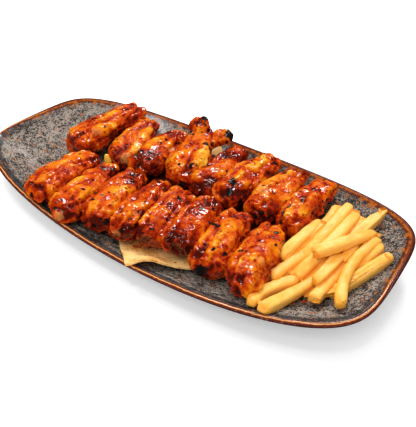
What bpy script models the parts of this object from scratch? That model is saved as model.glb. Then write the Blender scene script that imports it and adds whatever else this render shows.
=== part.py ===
"""Chicken wings serving: sixteen grilled, glazed wings in two rows over a square of
flatbread, with a heap of fries, all on one oblong stoneware plate.

Metres, +Z up. The plate's long side runs along X and its front faces -Y. The plate
stands on its foot ring at z = 0, with its outline centred on the origin.
"""

import math
from collections import namedtuple

import bmesh
import bpy
import numpy as np

MM = 0.001
TAU = 2 * math.pi

# ---------------------------------------------------------------- driving dimensions

# Plate: a coupe with a wavy rim, lowest at the middle of its long sides.
PLATE_LENGTH = 370 * MM
PLATE_WIDTH = 184 * MM
END_POWER = 1.98  # a plain ellipse is 2; more makes squarer ends
SIDE_POWER = 4.4  # the long sides are much straighter than an ellipse's
END_SLANT = 0.10  # how far the left end leans, for each metre across
SKEW = 0.02
TAPER = 0.011
RIM_HEIGHT = 23.3 * MM  # at the middle of the long sides
RIM_RISE = 13.7 * MM  # added towards the two ends
FLOOR_TOP = 9 * MM  # the floor's height at the middle
FLOOR_RISE = 11 * MM  # what it would gain by the two ends, as the whole plate curves up
BASE_THICKNESS = 6 * MM
WALL_WIDTH = 34 * MM  # from the lip in to the flat floor, at the middle of the long sides
WALL_WIDENING = 0.5  # the share that it gains towards the two ends
WALL_POWER = 1.8
LIP_WIDTH = 4 * MM
LIP_DROP = 1 * MM
LIP_FACE = 3.2 * MM
UNDER_POWER = 1.9
FOOT_WIDTH = 6 * MM
FOOT_INSET = 3 * MM  # from the foot of the inner wall in to the ring's outer face
FOOT_SLOPE = 1.5 * MM  # how far the ring's faces lean
FOOT_EDGE = 0.5 * MM
RECESS_INSET = 12 * MM  # from the ring in to where the hollow inside it is level
UNDER_SHARES = (0.25, 0.5, 0.7, 0.86, 1.0)  # places of the rings between the foot and the lip
LIP_PROFILE = ((0, 1.6 * MM), (0.7 * MM, 0.5 * MM), (2 * MM, 0), (3.3 * MM, 0.3 * MM))  # inset, drop
WALL_SHARES = (1.0, 0.9, 0.8, 0.68, 0.55, 0.4, 0.22, 0)  # places of the rings down the inner wall
FLOOR_SHARES = (0.75, 0.5, 0.25)  # sizes of the rings on the floor
PLATE_SIDES = 52
OUTLINE_POINTS = 2881

# Flatbread: a thin square under the wings, its front corner lying over the rim.
BREAD_THICKNESS = 1.6 * MM
BREAD_CELLS = 10
BREAD_CORNERS = ((14 * MM, -94 * MM), (92 * MM, -8 * MM), (-18 * MM, 82 * MM), (-84 * MM, -4 * MM))
BREAD_ARCH = 5 * MM  # how far its front edge arches up off the plate
ARCHED_SHARE = 0.6  # of that edge
ARCH_DEPTH = 14 * MM
BREAD_TIP_LIFT = 3 * MM  # clears the rim under its front corner
TIP_SHARPNESS = 8  # how closely that lift keeps to the corner
BREAD_MARGIN = 9 * MM  # how far beyond its edge food is kept up as if on it

# Wings: each lies from its narrow tail to its broad head.
WING_RINGS = 11
WING_SIDES = 14
GAP = 0.35 * MM  # between pieces that touch
WALL_CLEARANCE = 0.04  # more gap for each metre that the plate rises
CORE = 1.5 * MM  # the least depth kept between a section's centre and a neighbour
MEETING_HEIGHT = 20 * MM  # where neighbours' meeting lines are given
ROW_MEETING = ((-100, -5), (100, 6))  # the line where the two rows meet, in mm
ROW_LEAN = -0.45  # the back row's heads lie over the front row's tails
WING_LEAN = 0.15
END_INSET = 0.13  # share of a wing's length in from its end to where it rests
TAIL_SEAT, HEAD_SEAT = 0.40, 0.47  # heights of its end centres as a share of its own
END_POWER_ROUND = 2.9  # more makes blunter ends
SECTION_POWER = 2.4  # a plain ellipse is 2
SWELL = (0.82, 0.16)  # its width at the tail, and what it gains by the head
FOLD_TURN = 0.5  # radians, half the width of the side fold
VALLEY_TURN, VALLEY_SPREAD = 0.26, 0.42  # share of a turn, and radians
VALLEY_WANDER = 0.03  # share of a turn by which the valley differs from wing to wing
LUMP_SHARE = 0.07
FORK_POWER = 6
# Each hump of a wing's shape along its length: how much, and its middle and spread.
KNUCKLES = ((0.10, 0.05, 0.07), (0.10, 0.80, 0.15))
WAIST = (0.36, 0.15)
NECK = (0.10, 0.17, 0.07)
VALLEY = ((0.24, 0.34, 0.26), (0.38, 0, 0.12), (0.22, 1, 0.10))
FOLD = (0.10, 0.58, 0.16)

# Fries: square bars.
FRY_WIDTH = 10 * MM
FRY_RINGS = 4
FRY_CORNER = 0.62  # where a bar's corners are cut, as a share of its half width
FRY_SWELL = (0.96, 0.05)  # its mean width, and how much that varies
FRY_CLEARANCE = 0.8 * MM  # keeps the long flat faces of a bar off the curved plate

Wing = namedtuple("Wing", "tail head width height tail_lift head_lift roll arch fork waist")

# Tail and head are x, y in mm; width, height, lifts, arch and fork are in mm; roll in degrees.
BACK_WINGS = (
    Wing((-110, 72), (-120, -11), 35, 26, 2, 0, 6, 3, 2, 0.12),
    Wing((-91, 67), (-71, -1), 29, 23, 1, 0, -8, 2, 2, 0.06),
    Wing((-58, 68), (-51, 1), 31, 25, 1, 2, 6, 2, 2, 0.05),
    Wing((-27, 69), (-12, 9), 31, 25, 12, 1, 4, 2, 3, 0.10),
    Wing((8, 75), (8, 7), 28, 23, 2, 1, 10, 2, 2, 0.08),
    Wing((38, 81), (31, 7), 29, 24, 0, 1, -6, 3, 2, 0.05),
    Wing((67, 76), (66, 6), 30, 25, 0, 0, 8, 3, 2, 0.06),
    Wing((95, 70), (95, 4), 30, 26, 0, 0, 5, 3, 3, 0.04),
)
FRONT_WINGS = (
    Wing((-100, -2), (-90, -81), 30, 25, 0, 0, -6, 3, 2, 0.04),
    Wing((-74, -11), (-58, -84), 27, 23, 1, 0, 6, 2, 2, 0.08),
    Wing((-48, -6), (-35, -77), 31, 25, 2, 0, -5, 3, 2, 0.05),
    Wing((-21, -2), (-10, -72), 26, 24, 2, 0, 8, 2, 2, 0.05),
    Wing((0, 2), (13, -65), 28, 23, 2, 0, -6, 2, 2, 0.04),
    Wing((28, 1), (37, -62), 31, 25, 2, 0, 6, 2, 3, 0.05),
    Wing((54, 2), (65, -66), 31, 25, 1, 0, -4, 3, 2, 0.06),
    Wing((86, 0), (101, -71), 33, 26, 0, 0, 5, 3, 3, 0.05),
)
# The two bare bone ends that rise from the fourth back wing's tail: base, tip and radius in mm.
BONE_ENDS = (
    ((-24, 52, 33), (-33, 70, 45), 7.5),
    ((-20, 50, 31), (-10, 75, 38), 5.0),
)
BONE_SIDES = 10
BONE_LOBES = 0.16  # how far the knuckle's two lobes stand out
BONE_PROFILE = ((0.05, 0.75), (0.35, 0.72), (0.6, 0.8), (0.78, 1.0), (0.9, 0.95), (0.98, 0.6))

Fry = namedtuple("Fry", "start middle end")

# Each fry's centre line, as three x, y, z points in mm, from the front to the back.
FRIES = (
    Fry((109, -30, 28), (113, -6, 31), (117, 24, 33)),
    Fry((114, -10, 19), (114, 24, 21), (114, 56, 25)),
    Fry((124, -36, 25), (123, 4, 29), (125, 53, 31)),
    Fry((126, -22, 27), (130, 14, 31), (132, 52, 31)),
    Fry((137, 4, 22), (143, 42, 27), (150, 59, 37)),
    Fry((127, -17, 37), (143, 1, 40), (154, 29, 38)),
    Fry((146, -4, 29), (151, 13, 32), (161, 25, 33)),
    Fry((164, -50, 36), (153, -7, 28), (153, 25, 29)),
    Fry((153, -17, 28), (158, 4, 31), (164, 18, 34)),
    Fry((153, -33, 28), (165, -8, 34), (174, 10, 39)),
    Fry((110, -43, 24), (116, -19, 25), (124, 12, 24)),
    Fry((113, -77, 31), (113, -49, 21), (129, -21, 21)),
    Fry((122, -79, 33), (129, -52, 24), (143, -10, 24)),
    Fry((137, -32, 23), (139, -12, 25), (142, 16, 27)),
    Fry((147, -51, 29), (145, -27, 25), (145, 10, 25)),
    Fry((145, -42, 26), (154, -31, 28), (161, -18, 32)),
)
# The mound under them: centre x, y and half-sizes along x, y and z, in mm.
MOUND_CENTRE = (138, 2)
MOUND_HALF = (31, 48, 17)
MOUND_SIDES = 20
MOUND_RINGS = 8
SMALLEST_EDGE = 0.01 * MM
FRIES_MEETING = ((109, 60), (110, -70))  # the line where they meet the last wings, in mm
FRIES_LEAN = -0.3


# ---------------------------------------------------------------- plate surfaces


def dense_outline():
    """The plate's outline as x, y arrays, closely spaced, starting at its right end."""
    turn = np.linspace(0, TAU, OUTLINE_POINTS)
    along = np.sign(np.cos(turn)) * np.abs(np.cos(turn)) ** (2 / END_POWER)
    across = np.sign(np.sin(turn)) * np.abs(np.sin(turn)) ** (2 / SIDE_POWER)
    y = PLATE_WIDTH / 2 * across * (1 + TAPER * along) - SKEW * PLATE_LENGTH / 2 * along
    x = PLATE_LENGTH / 2 * along + END_SLANT * y * (1 - along) / 2
    x = x - (x.max() + x.min()) / 2
    y = y - (y.max() + y.min()) / 2
    return x, y


def outward(x, y):
    """How squarely the outline faces away from the centre at each point, up to 1."""
    along_x, along_y = np.gradient(x), np.gradient(y)
    return (x * along_y - y * along_x) / np.hypot(x, y) / np.hypot(along_x, along_y)


OUTLINE_X, OUTLINE_Y = dense_outline()
OUTLINE_TURN = np.unwrap(np.arctan2(OUTLINE_Y, OUTLINE_X))
OUTLINE_RADIUS = np.hypot(OUTLINE_X, OUTLINE_Y)
OUTLINE_FACING = outward(OUTLINE_X, OUTLINE_Y)


def even_turns(count):
    """Directions from the centre to points along the outline, closer where it bends more."""
    step_x, step_y = np.diff(OUTLINE_X), np.diff(OUTLINE_Y)
    heading = np.unwrap(np.arctan2(step_y, step_x))
    bend = np.abs(np.diff(heading, append=heading[0] + TAU))
    travelled = np.concatenate([[0], np.cumsum(np.hypot(step_x, step_y) + PLATE_WIDTH / 2 * bend)])
    return np.interp(np.arange(count) / count * travelled[-1], travelled, OUTLINE_TURN)


def around(turn, values):
    """Values along the outline, read off at other directions."""
    return np.interp(turn, OUTLINE_TURN[:-1], values[:-1], period=TAU)


def rim_height(turn):
    """Height of the lip in each direction."""
    x = around(turn, OUTLINE_RADIUS) * np.cos(turn)
    return RIM_HEIGHT + RIM_RISE * (x / (PLATE_LENGTH / 2)) ** 2


def wall_width(turn):
    """Width of the inner wall in each direction."""
    x = around(turn, OUTLINE_RADIUS) * np.cos(turn)
    return WALL_WIDTH * (1 + WALL_WIDENING * (x / (PLATE_LENGTH / 2)) ** 2)


def floor_height(x):
    """Height of the plate's floor, which rises towards the two ends."""
    return FLOOR_TOP + FLOOR_RISE * (x / (PLATE_LENGTH / 2)) ** 2


def wall_top(turn, x, share):
    """Height of the inner wall: share is 0 at the floor and 1 at the lip."""
    floor = floor_height(x)
    return floor + (rim_height(turn) - LIP_DROP - floor) * np.clip(share, 0, 1) ** WALL_POWER


def plate_top(x, y):
    """Height of the plate's upper surface."""
    turn = np.arctan2(y, x)
    inset = (around(turn, OUTLINE_RADIUS) - np.hypot(x, y)) * around(turn, OUTLINE_FACING)
    share = 1 - (inset - LIP_WIDTH) / wall_width(turn)
    return np.where(share > 1, rim_height(turn), wall_top(turn, x, share))


def bread_cover(x, y, margin):
    """1 over the flatbread and the margin round it, else 0."""
    corners = np.array(BREAD_CORNERS)
    inside = np.ones_like(np.asarray(x, float))
    for start, end in zip(corners, np.roll(corners, -1, axis=0)):
        side = (end - start) / np.linalg.norm(end - start)
        depth = side[0] * (y - start[1]) - side[1] * (x - start[0])
        inside = inside * (depth > -margin)
    return inside


def bread_arch(x, y):
    """How far the bread rises off the plate along its front edge."""
    start, end = np.array(BREAD_CORNERS[:2])
    edge = np.linalg.norm(end - start)
    side = (end - start) / edge
    travelled = side[0] * (x - start[0]) + side[1] * (y - start[1])
    depth = side[0] * (y - start[1]) - side[1] * (x - start[0])
    wave = np.sin(np.pi * np.clip(travelled / (ARCHED_SHARE * edge), 0, 1))
    return BREAD_ARCH * wave * np.exp(-np.maximum(depth, 0) / ARCH_DEPTH)


def rest_surface(x, y):
    """Height on which food rests: the plate, or the flatbread on it."""
    on_wall = plate_top(x, y) - FLOOR_TOP
    on_bread = bread_cover(x, y, BREAD_MARGIN) * (BREAD_THICKNESS + 2 * GAP + bread_arch(x, y))
    return plate_top(x, y) + GAP + WALL_CLEARANCE * on_wall + on_bread


# ---------------------------------------------------------------- building


def material(name, colour, roughness, metallic=0.0):
    """A plain material."""
    made = bpy.data.materials.new(name)
    made.use_nodes = True
    shader = made.node_tree.nodes["Principled BSDF"]
    shader.inputs["Base Color"].default_value = (*colour, 1)
    shader.inputs["Roughness"].default_value = roughness
    shader.inputs["Metallic"].default_value = metallic
    return made


def add_object(name, mesh, finish, collection):
    """A named object with one smooth-shaded material, linked to a collection."""
    for face in mesh.polygons:
        face.use_smooth = True
    mesh.materials.append(finish)
    made = bpy.data.objects.new(name, mesh)
    collection.objects.link(made)
    return made


def loft(name, rings, start, end):
    """A closed mesh through rings of points, drawn to a point at each end.

    rings has shape (rings, sides, 3), each ring turning anticlockwise seen from the end.
    """
    count, sides, _ = rings.shape
    points = [*rings.reshape(-1, 3), start, end]
    first, last = count * sides, count * sides + 1
    faces = []
    for side in range(sides):
        turned = (side + 1) % sides
        faces.append((first, turned, side))
        faces.append((last, (count - 1) * sides + side, (count - 1) * sides + turned))
        for ring in range(count - 1):
            low, high = ring * sides, (ring + 1) * sides
            faces.append((low + side, low + turned, high + turned, high + side))
    mesh = bpy.data.meshes.new(name)
    mesh.from_pydata([tuple(map(float, point)) for point in points], [], faces)
    mesh.validate()
    return mesh


# ---------------------------------------------------------------- plate


def plate_mesh():
    """Underside, foot ring, outer wall, rounded lip, inner wall and floor in one loft."""
    turn = even_turns(PLATE_SIDES)
    radius = around(turn, OUTLINE_RADIUS)
    facing = around(turn, OUTLINE_FACING)
    rim = rim_height(turn)
    wall = wall_width(turn)

    def ring(inset, height, shrink=1.0):
        """One ring of points; height is a value or takes the ring's x."""
        reach = (radius - inset / facing) * shrink
        x = reach * np.cos(turn)
        z = height(x) if callable(height) else height + np.zeros_like(turn)
        return np.stack([x, reach * np.sin(turn), z], -1)

    def under(share=0):
        """Height of the underside, share being 0 at the foot ring and 1 below the lip."""
        return lambda x: (floor_height(x) - BASE_THICKNESS) * (1 - share**UNDER_POWER) + (
            rim - LIP_FACE
        ) * share**UNDER_POWER

    foot = wall + LIP_WIDTH + FOOT_INSET
    rings = [
        ring(foot + FOOT_WIDTH + RECESS_INSET, under()),
        ring(foot + FOOT_WIDTH + FOOT_SLOPE, under()),
        ring(foot + FOOT_WIDTH, 0),
        ring(foot + FOOT_EDGE, 0),
        ring(foot - FOOT_SLOPE, under()),
    ]
    for share in UNDER_SHARES:
        rings.append(ring((foot - FOOT_SLOPE) * (1 - share), under(share)))
    for inset, drop in LIP_PROFILE:
        rings.append(ring(inset, rim - drop))
    for share in WALL_SHARES:
        inset = LIP_WIDTH + wall * (1 - share)
        rings.append(ring(inset, lambda x, share=share: wall_top(turn, x, share)))
    for shrink in FLOOR_SHARES:
        rings.append(ring(LIP_WIDTH + wall, floor_height, shrink))
    top = floor_height(0)
    return loft("plate", np.array(rings), (0, 0, top - BASE_THICKNESS), (0, 0, top))


# ---------------------------------------------------------------- flatbread


def bread_mesh():
    """A thin sheet that follows the plate, arched along its front edge."""
    mesh = bpy.data.meshes.new("flatbread")
    sheet = bmesh.new()
    bmesh.ops.create_grid(sheet, x_segments=BREAD_CELLS, y_segments=BREAD_CELLS, size=0.5)
    front, right, back, left = (np.array(corner) for corner in BREAD_CORNERS)
    for vertex in sheet.verts:
        u, v = vertex.co.x + 0.5, vertex.co.y + 0.5
        place = (front * (1 - u) + right * u) * (1 - v) + (left * (1 - u) + back * u) * v
        tip = ((1 - u) * (1 - v)) ** TIP_SHARPNESS
        lift = GAP + float(bread_arch(*place)) + BREAD_TIP_LIFT * tip
        vertex.co = (*place, float(plate_top(*place)) + lift)
    sheet.to_mesh(mesh)
    sheet.free()
    return mesh


# ---------------------------------------------------------------- wings


def lumps(index, along, turn):
    """A gentle unevenness that differs from wing to wing, about -1 to 1."""
    phase = 2.4 * index
    wide = np.sin(2 * turn + phase) * np.sin(5 * along + 1.7 * phase)
    fine = np.sin(3 * turn - 1.3 * phase + 7 * along) * np.cos(9 * along + phase)
    return 0.6 * wide + 0.4 * fine


def hump(value, middle, spread):
    """A smooth rise to 1 at the middle."""
    return np.exp(-(((value - middle) / spread) ** 2))


def humps(value, parts):
    """The sum of several humps, each given by its height, middle and spread."""
    return sum(height * hump(value, middle, spread) for height, middle, spread in parts)


def wing_frame(wing):
    """The wing's tail and head centres and its sideways and upward directions."""
    low, high = np.array(wing.tail) * MM, np.array(wing.head) * MM
    ends = []
    for place, inwards, lift, share in (
        (low, high - low, wing.tail_lift, TAIL_SEAT),
        (high, low - high, wing.head_lift, HEAD_SEAT),
    ):
        under = float(rest_surface(*(place + END_INSET * inwards)))
        ends.append(np.array([*place, under + (wing.height * share + lift) * MM]))
    tail, head = ends
    along = (head - tail) / np.linalg.norm(head - tail)
    side = np.cross((0, 0, 1), along)
    side /= np.linalg.norm(side)
    up = np.cross(along, side)
    roll = math.radians(wing.roll)
    rolled_side = side * math.cos(roll) + up * math.sin(roll)
    rolled_up = up * math.cos(roll) - side * math.sin(roll)
    return tail, head, along, rolled_side, rolled_up


def wing_rings(index, wing):
    """Sections of a flat wing: two long lobes with a valley between, swelling to the head."""
    tail, head, along, side, up = wing_frame(wing)
    centres = []
    rings = []
    for step in range(1, WING_RINGS + 1):
        s = 0.5 * (1 - math.cos(math.pi * step / (WING_RINGS + 1)))
        turn = TAU * np.arange(WING_SIDES) / WING_SIDES
        end_round = (1 - abs(2 * s - 1) ** END_POWER_ROUND) ** 0.5
        pinch = wing.waist * hump(s, *WAIST) + humps(s, [NECK])
        swell = SWELL[0] + SWELL[1] * s + humps(s, KNUCKLES)
        half_width = wing.width * MM / 2 * end_round * (swell - pinch)
        half_height = wing.height * MM / 2 * end_round * (swell - 0.5 * pinch)
        bend = wing.arch * MM * (1 - (2 * s - 1) ** 2)
        centre = tail + (head - tail) * s + up * bend
        square = np.abs(np.cos(turn)) ** SECTION_POWER + np.abs(np.sin(turn)) ** SECTION_POWER
        valley_turn = (VALLEY_TURN + VALLEY_WANDER * math.sin(index)) * TAU
        groove = humps(s, VALLEY) * hump(turn, valley_turn, VALLEY_SPREAD)
        fold_side = 0.5 * TAU * (index % 2)
        past_fold = (turn - fold_side + 0.5 * TAU) % TAU
        fold = humps(s, [FOLD]) * hump(past_fold, 0.5 * TAU, FOLD_TURN)
        unevenness = LUMP_SHARE * lumps(index, s, turn)
        reach = square ** (-1 / SECTION_POWER) * (1 - groove + fold + unevenness)
        fork = -wing.fork * MM * np.abs(np.cos(turn)) * (1 - s) ** FORK_POWER
        sideways = (half_width * reach * np.cos(turn))[:, None] * side
        upwards = (half_height * reach * np.sin(turn))[:, None] * up
        rings.append(centre + sideways + upwards + fork[:, None] * along)
        centres.append(centre)
    return np.array(rings), np.array(centres), tail, head


def meeting_plane(start, end, sideways, lean):
    """A point and unit normal of a leaning plane through a line given by two x, y points.

    Its normal points along sideways, and the plane leans that way by lean for each metre up.
    """
    point = np.array([start[0], start[1], MEETING_HEIGHT])
    line = np.array([end[0] - start[0], end[1] - start[1], 0])
    normal = np.cross(line, np.array([0, 0, 1]) + lean * np.array(sideways))
    normal /= np.linalg.norm(normal)
    if np.dot(normal, sideways) < 0:
        normal = -normal
    return point, normal


def between(first, second):
    """The plane between two neighbours of a row, its normal towards the second."""
    start = (np.array(first.tail) + second.tail) / 2 * MM
    end = (np.array(first.head) + second.head) / 2 * MM
    return meeting_plane(start, end, (1, 0, 0), WING_LEAN)


def rows_plane():
    """The plane between the rows, its normal towards the back row."""
    start, end = np.array(ROW_MEETING) * MM
    return meeting_plane(start, end, (0, 1, 0), ROW_LEAN)


def fries_plane():
    """The plane between the last wings and the fries, its normal towards the fries."""
    start, end = np.array(FRIES_MEETING) * MM
    return meeting_plane(start, end, (1, 0, 0), FRIES_LEAN)


def turned(plane):
    """The same plane, its normal the other way."""
    point, normal = plane
    return point, -normal


def press_inside(rings, centres, point, normal):
    """Draws what is past a plane back to it, towards each ring's own centre."""
    for ring, centre in zip(rings, centres):
        room = np.dot(point - centre, normal) - GAP / 2
        if room < CORE:
            step = normal * (room - CORE)
            ring += step
            centre += step
            room = CORE
        past = (ring - centre) @ normal
        shrink = np.where(past > room, room / np.maximum(past, room), 1)
        ring[:] = centre + (ring - centre) * shrink[:, None]


def wing_mesh(name, row, index, seed, from_other_row):
    """One wing, pressed against its neighbours and settled on what is under it."""
    rings, centres, tail, head = wing_rings(seed, row[index])
    planes = [from_other_row]
    if index > 0:
        planes.append(turned(between(row[index - 1], row[index])))
    last = index == len(row) - 1
    planes.append(fries_plane() if last else between(row[index], row[index + 1]))
    for point, normal in planes:
        press_inside(rings, centres, point, normal)
        for end in (tail, head):
            over = np.dot(end - point, normal) + GAP / 2 + CORE / 3
            end -= normal * max(0.0, over)
    floor = rest_surface(rings[..., 0], rings[..., 1])
    rings[..., 2] = np.maximum(rings[..., 2], floor)
    return loft(name, rings, tail, head)


def bone_mesh(index, base, tip, radius):
    """A bare bone, narrow at its base, ending in a knuckle of two rounded lobes."""
    base, tip = np.array(base) * MM, np.array(tip) * MM
    along = (tip - base) / np.linalg.norm(tip - base)
    side = np.cross((0, 0, 1), along)
    side /= np.linalg.norm(side)
    up = np.cross(along, side)
    turn = TAU * np.arange(BONE_SIDES) / BONE_SIDES
    rings = []
    for s, reach in BONE_PROFILE:
        lobes = 1 + BONE_LOBES * np.cos(2 * turn) * s
        across = (radius * MM * reach * lobes * np.cos(turn))[:, None] * side
        upwards = (radius * MM * reach * lobes * np.sin(turn))[:, None] * up
        rings.append(base + (tip - base) * s + across + upwards)
    return loft(f"bone_{index}", np.array(rings), base, tip)


# ---------------------------------------------------------------- fries


def fry_mesh(index, fry):
    """One bent square bar with softened corners."""
    start, middle, end = (np.array(point, float) * MM for point in fry)
    turns = np.array([(1, -FRY_CORNER), (1, FRY_CORNER), (FRY_CORNER, 1), (-FRY_CORNER, 1)])
    corners = np.concatenate([turns, -turns])
    rings = []
    centres = []
    for step in range(FRY_RINGS):
        s = step / (FRY_RINGS - 1)
        centre = start * (1 - s) * (1 - 2 * s) + middle * 4 * s * (1 - s) + end * s * (2 * s - 1)
        along = start * (4 * s - 3) + middle * (4 - 8 * s) + end * (4 * s - 1)
        side = np.cross((0, 0, 1), along)
        side /= np.linalg.norm(side)
        up = np.cross(along, side)
        up /= np.linalg.norm(up)
        half = FRY_WIDTH / 2 * (FRY_SWELL[0] + FRY_SWELL[1] * math.sin(1.9 * index + 3 * s))
        rings.append(centre + half * (corners[:, :1] * side + corners[:, 1:] * up))
        centres.append(centre)
    rings, centres = np.array(rings), np.array(centres)
    point, normal = turned(fries_plane())
    press_inside(rings, centres, point, normal)
    floor = rest_surface(rings[..., 0], rings[..., 1]) + FRY_CLEARANCE
    rings[..., 2] = np.maximum(rings[..., 2], floor)
    return loft(f"fry_{index}", rings, centres[0], centres[-1])


def mound_mesh():
    """The low heap of fries hidden under those that show."""
    mesh = bpy.data.meshes.new("mound")
    ball = bmesh.new()
    bmesh.ops.create_uvsphere(ball, u_segments=MOUND_SIDES, v_segments=MOUND_RINGS, radius=1)
    base = float(rest_surface(MOUND_CENTRE[0] * MM, MOUND_CENTRE[1] * MM))
    for vertex in ball.verts:
        x = (MOUND_CENTRE[0] + MOUND_HALF[0] * vertex.co.x) * MM
        y = (MOUND_CENTRE[1] + MOUND_HALF[1] * vertex.co.y) * MM
        z = base + MOUND_HALF[2] * MM * vertex.co.z
        vertex.co = (x, y, max(z, float(rest_surface(x, y))))
    bmesh.ops.dissolve_degenerate(ball, edges=ball.edges, dist=SMALLEST_EDGE)
    bmesh.ops.recalc_face_normals(ball, faces=ball.faces)
    ball.to_mesh(mesh)
    ball.free()
    return mesh


# ---------------------------------------------------------------- assembly


def clear_scene():
    """Removes every object."""
    for found in list(bpy.data.objects):
        bpy.data.objects.remove(found)


def add_helpers(name, meshes, finish):
    """A hidden collection of the meshes that a Boolean joins to one object."""
    helpers = bpy.data.collections.new(name)
    helpers.hide_render = True
    bpy.context.scene.collection.children.link(helpers)
    for mesh in meshes:
        made = add_object(mesh.name, mesh, finish, helpers)
        made.hide_render = True
        made.display_type = "WIRE"
    return helpers


def join_with(made, helpers):
    """Joins the helpers to an object with a Boolean."""
    join = made.modifiers.new("join", "BOOLEAN")
    join.operation = "UNION"
    join.operand_type = "COLLECTION"
    join.collection = helpers
    join.solver = "EXACT"


def keep_outer_shell(made):
    """Applies the object's modifiers and fills the pockets left between the joined bars."""
    graph = bpy.context.evaluated_depsgraph_get()
    joined = bpy.data.meshes.new_from_object(made.evaluated_get(graph))
    made.modifiers.clear()
    made.data = joined
    whole = bmesh.new()
    whole.from_mesh(joined)
    unseen = set(whole.faces)
    shells = []
    while unseen:
        waiting = [unseen.pop()]
        shell = []
        while waiting:
            face = waiting.pop()
            shell.append(face)
            joined_edges = [edge for edge in face.edges if len(edge.link_faces) == 2]
            beside = {other for edge in joined_edges for other in edge.link_faces} & unseen
            unseen -= beside
            waiting.extend(beside)
        shells.append(shell)
    outer = max(shells, key=lambda shell: sum(face.calc_area() for face in shell))
    pockets = [face for shell in shells if shell is not outer for face in shell]
    bmesh.ops.delete(whole, geom=pockets, context="FACES")
    whole.to_mesh(joined)
    whole.free()


def add_wings(glaze, serving):
    """Adds both rows, and the bone ends to the fourth back wing."""
    rows = (("wing_back", BACK_WINGS, turned(rows_plane())), ("wing_front", FRONT_WINGS, rows_plane()))
    seed = 0
    for row_name, row, from_other_row in rows:
        for index in range(len(row)):
            name = f"{row_name}_{index + 1}"
            add_object(name, wing_mesh(name, row, index, seed, from_other_row), glaze, serving)
            seed += 1
    bones = [bone_mesh(index, *bone) for index, bone in enumerate(BONE_ENDS)]
    join_with(bpy.data.objects["wing_back_4"], add_helpers("bone_ends", bones, glaze))


def main():
    """Makes the whole serving."""
    clear_scene()
    serving = bpy.data.collections.new("chicken_wings_serving")
    bpy.context.scene.collection.children.link(serving)
    stoneware = material("stoneware", (0.16, 0.155, 0.15), 0.35)
    bread = material("flatbread", (0.75, 0.52, 0.27), 0.8)
    glaze = material("glazed_wing", (0.62, 0.16, 0.03), 0.3)
    fried = material("fried_potato", (0.86, 0.58, 0.16), 0.6)
    add_object("plate", plate_mesh(), stoneware, serving)
    sheet = add_object("flatbread", bread_mesh(), bread, serving)
    thicken = sheet.modifiers.new("thickness", "SOLIDIFY")
    thicken.thickness = BREAD_THICKNESS
    thicken.offset = 1
    add_wings(glaze, serving)
    heap = add_object("fries", mound_mesh(), fried, serving)
    bars = [fry_mesh(index, fry) for index, fry in enumerate(FRIES)]
    join_with(heap, add_helpers("fry_bars", bars, fried))
    keep_outer_shell(heap)


main()
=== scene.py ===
"""Chicken wings serving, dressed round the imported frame.

The plate keeps its form and gets its speckled glaze and brown rim. The flatbread and each
wing are dense copies of their solids, with their skin, sauce and charring worked into the
mesh. Separate fries stand in for the heap.
"""

import logging
import math
from dataclasses import dataclass, field, replace
from enum import Enum
from typing import Any, Sequence

import bpy
import numpy as np
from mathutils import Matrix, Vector
from mathutils.geometry import convex_hull_2d
from mathutils.bvhtree import BVHTree
from mathutils.kdtree import KDTree


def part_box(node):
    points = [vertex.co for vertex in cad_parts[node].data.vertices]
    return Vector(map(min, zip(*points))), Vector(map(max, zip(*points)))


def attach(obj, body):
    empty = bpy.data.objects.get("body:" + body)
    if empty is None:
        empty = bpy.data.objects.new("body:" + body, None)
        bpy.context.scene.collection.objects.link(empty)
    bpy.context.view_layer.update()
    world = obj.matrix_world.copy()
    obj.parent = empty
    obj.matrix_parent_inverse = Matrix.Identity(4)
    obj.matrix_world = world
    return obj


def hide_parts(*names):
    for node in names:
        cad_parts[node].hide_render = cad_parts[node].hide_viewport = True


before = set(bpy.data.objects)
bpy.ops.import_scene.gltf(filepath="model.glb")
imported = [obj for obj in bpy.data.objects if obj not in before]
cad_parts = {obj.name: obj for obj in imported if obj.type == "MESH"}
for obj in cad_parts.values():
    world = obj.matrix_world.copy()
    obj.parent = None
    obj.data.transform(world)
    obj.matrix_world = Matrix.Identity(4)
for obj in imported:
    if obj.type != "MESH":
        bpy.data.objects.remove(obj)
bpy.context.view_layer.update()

MM = 0.001
LOG = logging.getLogger("wings")


class Slot(Enum):
    """Material slots."""

    STONEWARE = "stoneware"
    BREAD = "flatbread"
    WING = "glazed_wing"
    FRY = "fried_potato"


# ---------------------------------------------------------------- noise


def value_noise(points: np.ndarray, seed: int) -> np.ndarray:
    """Smooth pseudo-random values over space, with features one unit apart.

    Args:
        points: places, one row each.
        seed: which pattern.

    Returns:
        One value from 0 to 1 for each place.
    """
    cell = np.floor(points).astype(np.int64)
    part = points - cell
    ease = part * part * (3 - 2 * part)
    total = np.zeros(len(points))
    for corner in np.ndindex(2, 2, 2):
        at = cell + np.array(corner)
        key = at @ np.array([73856093, 19349663, 83492791]) + 15485863 * seed
        key = (key ^ (key >> 13)) * 1274126177 & 0x7FFFFFFF
        value = ((key ^ (key >> 11)) & 0xFFFF) / 0xFFFF
        total += value * np.prod(np.where(corner, ease, 1 - ease), axis=1)
    return total


def fractal(points: np.ndarray, seed: int, octaves: int = 3) -> np.ndarray:
    """Layered value noise.

    Args:
        points: places, one row each.
        seed: which pattern.
        octaves: how many layers, each half as coarse and half as strong.

    Returns:
        One value from -1 to 1 for each place.
    """
    total = np.zeros(len(points))
    share = 0.0
    for octave in range(octaves):
        weight = 0.5**octave
        total += weight * (2 * value_noise(points * 2**octave, seed + 31 * octave) - 1)
        share += weight
    return total / share


def rise(value: np.ndarray, low: float, high: float) -> np.ndarray:
    """A smooth step from 0 at low to 1 at high."""
    t = np.clip((value - low) / (high - low), 0, 1)
    return t * t * (3 - 2 * t)


# ---------------------------------------------------------------- shading


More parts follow.
